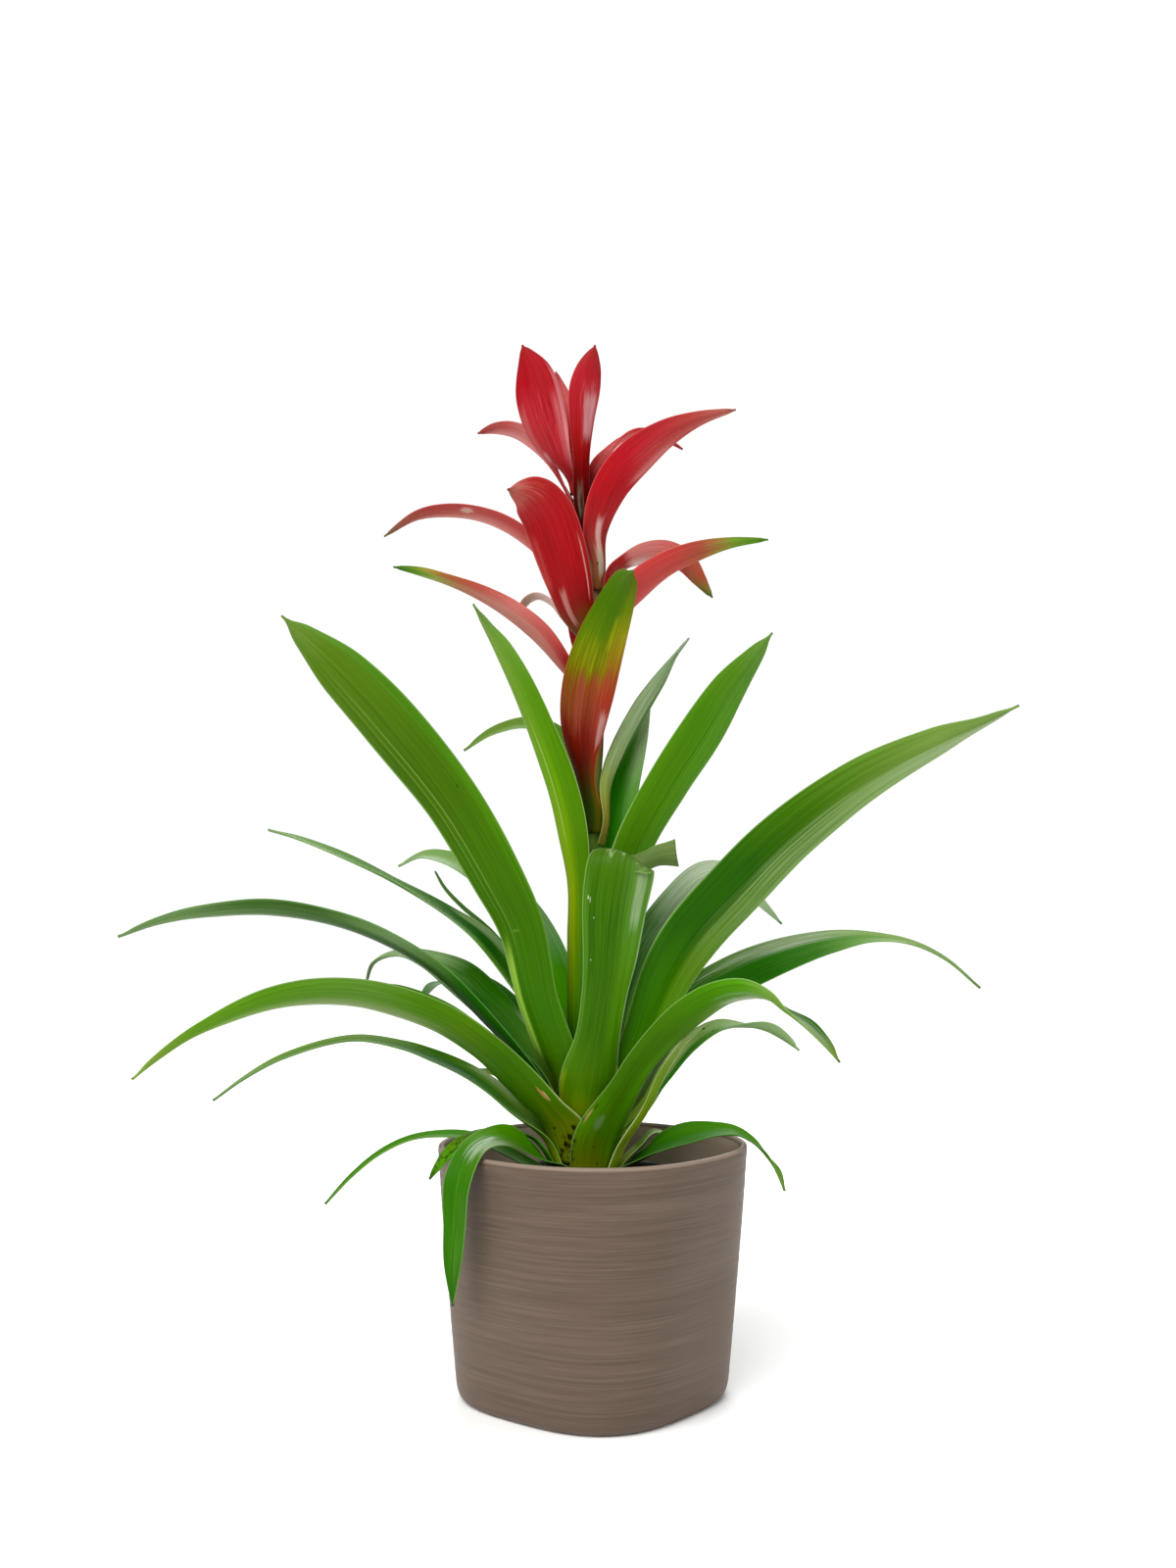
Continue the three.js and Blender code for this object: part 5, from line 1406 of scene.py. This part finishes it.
        "right": [(0, "#3c780c"), (0.5, "#3c8806"), (0.9, "#4c960c"), (0.97, "#3c700c"), (1, "#3a3410")],
        "rot": [(0.62, 1.1, -0.1, 1.1, "#2c2c10", 0.8)],
    },
    "leaf_26": {
        "margin": "#a8bc70",
        "left": [(0, "#6a9a14"), (0.6, "#6a9440"), (1, "#8aa060")],
        "right": [(0, "#6a9a14"), (0.6, "#8cae3c"), (1, "#a0ac58")],
    },
    # leaf_27: its bright yellow-greens are painted light that lifts it out of the shade it grows in
    "leaf_27": {
        "margin": "#dce8b0", "edge": 0.6,
        "left": [
            (0, "#98b81c"), (0.15, "#b8d834"), (0.3, "#a8cc28"), (0.45, "#7ca41c"), (0.7, "#7a9c30"),
            (1, "#98b070"),
        ],
        "right": [
            (0, "#98b81c"), (0.15, "#d8f050"), (0.3, "#d0e85c"), (0.45, "#98bc30"), (0.7, "#94b058"),
            (1, "#a8bc80"),
        ],
        "streaks": [(0.05, 1, 0, 1, "#5c8c0c", 0.4)],
    },
    # leaf_28: its bright yellow-greens are painted light that lifts it out of the shade it grows in
    "leaf_28": {
        "margin": "#c0d4a0",
        "left": [
            (0, "#98ac10"), (0.3, "#b8cc24"), (0.5, "#b0cc60"), (0.6, "#7cac14"), (0.8, "#c0e090"),
            (1, "#d0e8b0"),
        ],
        "right": [
            (0, "#98ac10"), (0.3, "#c0d424"), (0.5, "#b8d470"), (0.6, "#84b41c"), (0.8, "#b0d480"),
            (1, "#c0d8a0"),
        ],
    },
    # leaf_32: its bright yellow-greens and near-white streaks are painted light lifting it out of the shade
    "leaf_32": {
        "margin": "#dce8b8", "edge": 0.6,
        "left": [
            (0, "#94b424"), (0.15, "#d4f860"), (0.3, "#c8ec68"), (0.45, "#c0dc98"), (0.6, "#4c9420"),
            (1, "#3c7814"),
        ],
        "right": [
            (0, "#94b424"), (0.15, "#94c830"), (0.3, "#8cc030"), (0.45, "#a0c870"), (0.6, "#4c9420"),
            (1, "#3c7814"),
        ],
        "streaks": [(0.1, 0.6, 0, 1, "#f0f8dc", 0.5)],
    },
    # bract_01: the pink patches and streaks are painted highlights
    "bract_01": {
        **red, "split": (0.3, 0.7),
        "left": [
            (0, "#8a1c1a"), (0.1, "#981818"), (0.2, "#ac2226"), (0.35, "#b43036"), (0.5, "#bc2e34"),
            (0.65, "#b8262e"), (0.75, "#b41820"), (0.92, "#ac1e24"), (1, "#a42c2c"),
        ],
        "right": [
            (0, "#981e1c"), (0.1, "#a41c1e"), (0.2, "#ac2228"), (0.6, "#b4202a"), (0.9, "#b42228"),
            (1, "#a42c2c"),
        ],
        "patches": [
            (0.22, 0.68, -0.1, 0.26, "#cc6a6a", 0.6), (0.12, 0.72, 0.74, 1.1, "#d07074", 0.7),
            (0.22, 0.9, 0.9, 1.0, "#e0949a", 0.6), (0.25, 0.34, 0.08, 0.3, "#dc9c98", 0.7),
        ],
        "streaks": [(0.15, 0.75, 0.2, 0.9, "#cc5058", 0.35)],
    },
    # bract_02: the pink patch and streaks are painted sheen, the pale green-white streaks near the foot are
    # painted glints, and the dark maroon of its foot is partly painted shade
    "bract_02": {
        **red, "split": (0.2, 0.8),
        "left": [
            (0, "#3a0804"), (0.15, "#480a06"), (0.3, "#6a0c0c"), (0.4, "#901212"), (0.5, "#a01416"),
            (0.65, "#b4222a"), (0.85, "#b8262e"), (1, "#a83030"),
        ],
        "right": [
            (0, "#3a0804"), (0.15, "#5c0c0a"), (0.3, "#861010"), (0.42, "#a00e0e"), (0.6, "#bc3038"),
            (0.85, "#b8242c"), (1, "#a83030"),
        ],
        "patches": [(0.46, 0.78, 0.42, 0.96, "#dc9ca0", 0.8)],
        "streaks": [(0.06, 0.3, 0.2, 0.6, "#a8b898", 0.6), (0.45, 0.85, 0.3, 1, "#e8b8b8", 0.35)],
    },
    "bract_03": {
        **red,
        "left": [
            (0, "#8a1c20"), (0.3, "#a82424"), (0.55, "#dc4c4e"), (0.75, "#ec827e"), (0.9, "#dc6868"),
            (1, "#b04048"),
        ],
        "right": [
            (0, "#8a1c20"), (0.3, "#a01c1c"), (0.55, "#cc3034"), (0.75, "#dc5c5c"), (0.9, "#d04c50"),
            (1, "#b04048"),
        ],
    },
    "bract_04": {
        **red,
        "left": [(0, "#a02c30"), (0.4, "#dc6c6c"), (0.7, "#ec9a96"), (0.85, "#e08c8a"), (1, "#a84a44")],
        "right": [
            (0, "#8a1c18"), (0.3, "#b42c2c"), (0.5, "#d06060"), (0.65, "#dc8880"), (0.8, "#d0605e"),
            (1, "#a84a44"),
        ],
    },
    # bract_05: the whitish patches low on the blade and the pink patch on its right are painted sheen
    "bract_05": {
        **red, "split": (0.5, 0.85),
        "left": [
            (0, "#8a5c30"), (0.1, "#9c5c40"), (0.16, "#a84438"), (0.25, "#b02c2e"), (0.4, "#b81c22"),
            (0.55, "#be1e26"), (0.7, "#b82e34"), (0.82, "#b4443e"), (0.95, "#b8645a"), (1, "#9a5a44"),
        ],
        "right": [
            (0, "#7a1c10"), (0.1, "#84301a"), (0.2, "#9c2a24"), (0.3, "#b4282c"), (0.45, "#bc242c"),
            (0.55, "#c84446"), (0.7, "#c4524e"), (0.85, "#c0605a"), (0.95, "#cc8078"), (1, "#9a5a44"),
        ],
        "patches": [
            (0.05, 0.2, 0.26, 0.72, "#c8bca0", 0.9), (0.14, 0.32, 0.36, 0.66, "#e4b4ac", 0.9),
            (0.46, 0.74, 0.75, 1.1, "#d88482", 0.65), (0.03, 0.17, 0.86, 1.1, "#6e6a1a", 0.7),
            (0.08, 0.3, 0.06, 0.12, "#6a1010", 0.7),
        ],
        "streaks": [(0.12, 0.4, 0, 0.45, "#7c1414", 0.45), (0.5, 0.95, 0.3, 1, "#cc6868", 0.35)],
        "marks": [(0.3, 0.11, 0.05, 0.008, "#2c1c14", 0.9), (0.8, 0.24, 0.04, 0.01, "#5c1410", 0.7)],
    },
    "bract_06": {
        **red,
        "left": [
            (0, "#5c1014"), (0.3, "#a81414"), (0.42, "#d43434"), (0.55, "#dc5052"), (0.7, "#d42830"),
            (1, "#a43434"),
        ],
        "right": [
            (0, "#5c1014"), (0.3, "#8c1010"), (0.42, "#cc3836"), (0.55, "#e06260"), (0.7, "#cc242c"),
            (1, "#a43434"),
        ],
        "streaks": [(0.1, 0.9, 0.1, 0.9, "#dc908c", 0.4)],
    },
    # bract_07: the pinkish pale patches along its edges and low in its middle are painted highlights
    "bract_07": {
        **red, "split": (0.35, 0.75),
        "left": [
            (0, "#4c5c10"), (0.12, "#5c5c14"), (0.2, "#74441c"), (0.28, "#8c2c20"), (0.36, "#a42020"),
            (0.55, "#ac1a1e"), (0.72, "#b41e22"), (0.82, "#b83034"), (0.93, "#c05a54"),
            (0.985, "#8a6a44"), (1, "#5a5a28"),
        ],
        "right": [
            (0, "#4c6410"), (0.14, "#5c6010"), (0.22, "#743c14"), (0.3, "#8c1c18"), (0.4, "#a4181c"),
            (0.6, "#b01a1e"), (0.8, "#b81e22"), (0.9, "#b8302e"), (0.96, "#c47064"), (1, "#8a4a38"),
        ],
        "patches": [
            (0.3, 0.64, 0.87, 0.91, "#e0a090", 0.85), (0.15, 0.64, 0.93, 1.1, "#8c161c", 0.85),
            (0.15, 0.6, -0.1, 0.045, "#d8a498", 0.85), (0.2, 0.42, 0.26, 0.44, "#d8a49a", 0.55),
            (0.36, 0.7, -0.1, 0.22, "#cc504c", 0.6), (0.86, 0.98, -0.1, 0.6, "#c86a62", 0.5),
        ],
        "streaks": [(0.82, 1, 0, 1, "#cc6c60", 0.35)],
    },
    "bract_08": {
        **red, "split": (0.4, 0.8),
        "left": [
            (0, "#8a1a20"), (0.2, "#c8383c"), (0.4, "#dc6c68"), (0.6, "#dc867e"), (0.8, "#be5c54"),
            (0.92, "#b0604e"), (1, "#8a7a5c"),
        ],
        "right": [
            (0, "#8a1a20"), (0.2, "#ac2224"), (0.45, "#c44a48"), (0.62, "#c05450"), (0.8, "#b84a44"),
            (0.92, "#b06454"), (1, "#8a7a5c"),
        ],
        "patches": [(0.5, 0.9, 0.1, 0.4, "#d08c80", 0.5)],
        "streaks": [(0.25, 0.95, 0.1, 0.9, "#dc8c84", 0.3)],
        "marks": [
            (0.72, 0.67, 0.16, 0.03, "#dcb8a8", 0.8), (0.85, 0.7, 0.08, 0.01, "#b83c44", 0.6),
            (0.6, 0.655, 0.08, 0.008, "#b8504c", 0.6),
        ],
    },
    "bract_09": {
        **red, "split": (0.45, 0.75),
        "left": [
            (0, "#a02a28"), (0.2, "#c45c50"), (0.35, "#d88478"), (0.55, "#dc9084"), (0.68, "#c88068"),
            (0.76, "#b89060"), (0.84, "#98b050"), (0.92, "#629a28"), (1, "#4a7030"),
        ],
        "right": [
            (0, "#8a1a1a"), (0.22, "#981a1a"), (0.32, "#c44c48"), (0.5, "#dc7c74"), (0.66, "#c85c4c"),
            (0.78, "#b06438"), (0.86, "#a8a040"), (0.92, "#629228"), (1, "#3f6a24"),
        ],
        "streaks": [(0.15, 0.8, 0.1, 0.7, "#e0988c", 0.35)],
    },
    "bract_10": {
        **red, "split": (0.3, 0.7),
        "left": [
            (0, "#a02a2e"), (0.2, "#cc3438"), (0.45, "#dc4c4a"), (0.6, "#d04440"), (0.72, "#b45440"),
            (0.8, "#a08040"), (0.86, "#76a030"), (1, "#4a8420"),
        ],
        "right": [
            (0, "#a02a2e"), (0.2, "#cc4040"), (0.45, "#dc5450"), (0.62, "#cc5044"), (0.72, "#b4603c"),
            (0.8, "#a0903c"), (0.88, "#70a424"), (1, "#4a8420"),
        ],
        "patches": [(0.2, 0.7, 0.8, 1.1, "#cc6c64", 0.6)],
        "streaks": [(0.3, 0.85, 0.1, 1, "#dc847c", 0.3), (0.3, 0.85, 0.1, 0.8, "#98242a", 0.4)],
    },
    # bract_11: the near-white pinks over its arch are painted highlight
    "bract_11": {
        **red, "split": (0.4, 0.8),
        "left": [
            (0, "#8a2018"), (0.25, "#a82020"), (0.36, "#b02c28"), (0.42, "#e08880"), (0.55, "#dc847c"),
            (0.65, "#d86a66"), (0.75, "#b05040"), (0.88, "#a45038"), (0.96, "#7a7a34"), (1, "#5a6a2c"),
        ],
        "right": [
            (0, "#8a2018"), (0.25, "#8c1616"), (0.36, "#a83834"), (0.42, "#f0d4cc"), (0.52, "#e8aca4"),
            (0.65, "#d88078"), (0.78, "#a8483c"), (0.9, "#8a6a3c"), (1, "#5a6a2c"),
        ],
        "streaks": [(0.02, 0.35, 0.1, 0.9, "#d88c84", 0.5)],
    },
    "bract_12": {
        "margin": "#e0ccc4",
        "left": [
            (0, "#b87874"), (0.3, "#c08480"), (0.5, "#e8bcb4"), (0.75, "#f0ccc0"), (0.9, "#dcb09c"),
            (1, "#c4ac90"),
        ],
        "right": [
            (0, "#b87874"), (0.3, "#c48c88"), (0.5, "#e8c0ba"), (0.75, "#f4d4c8"), (0.9, "#e0b8a4"),
            (1, "#c4ac90"),
        ],
    },
    "bract_13": {
        **red, "split": (0.55, 0.9), "margin": "#b83c2c",
        "left": [
            (0, "#3c4408"), (0.1, "#304804"), (0.18, "#403008"), (0.26, "#5c180a"), (0.36, "#781c10"),
            (0.46, "#8a3c24"), (0.55, "#8c4418"), (0.6, "#786c08"), (0.66, "#6f7c04"), (0.74, "#5c7c02"),
            (0.84, "#4c740a"), (0.92, "#4c7414"), (1, "#5c7c28"),
        ],
        "right": [
            (0, "#6a6a10"), (0.12, "#645c08"), (0.2, "#7a3c14"), (0.3, "#9c3020"), (0.38, "#b04838"),
            (0.5, "#b43c28"), (0.6, "#b05a28"), (0.66, "#ac8020"), (0.76, "#a4a018"), (0.84, "#7c9410"),
            (0.92, "#6c8018"), (1, "#5c7018"),
        ],
        "patches": [
            (0.3, 0.47, 0.78, 0.97, "#d8a49c", 0.85), (0.05, 0.32, 0.9, 1.1, "#c86a2a", 0.75),
            (0.36, 0.62, 0.3, 0.5, "#a85440", 0.4), (0.68, 0.85, 0.62, 0.72, "#b4b41c", 0.4),
            (-0.1, 0.22, -0.1, 0.12, "#8c2414", 0.7),
        ],
        "streaks": [
            (0.4, 0.62, 0, 0.4, "#74681c", 0.75), (0.58, 0.74, 0, 1, "#94a010", 0.5),
            (0.45, 0.6, 0.5, 0.9, "#c45c48", 0.5), (0.72, 1, 0, 1, "#3c6c0c", 0.4),
        ],
    },
    "bract_14": {
        **red,
        "left": [(0, "#4a5a10"), (0.3, "#8a3022"), (0.55, "#a8503c"), (0.65, "#9a9814"), (1, "#48801c")],
        "right": [(0, "#4a5a10"), (0.3, "#9c2c24"), (0.55, "#b0443a"), (0.68, "#a89c18"), (1, "#48801c")],
    },
    "leaf_29": deepGreen,
    "leaf_31": deepGreen,
}


addCamera()
addLights()
addFloor()
print("camera, light and floor are in place")
makePlanter()
makeNurseryPot()
makeMix()
print("pots and growing mix are made")
makeStem()
makeBuds()
print("stem and buds are made")
for seed, (name, spec) in enumerate(leaves.items()):
    makeBlade(name, spec, "leaf", looks.get(name, midGreen), seed)
print(len(leaves), "leaves are made")
for seed, (name, spec) in enumerate(bracts.items()):
    makeBlade(name, spec, "bract", looks.get(name, red), seed + 100)
print(len(bracts), "bracts are made")
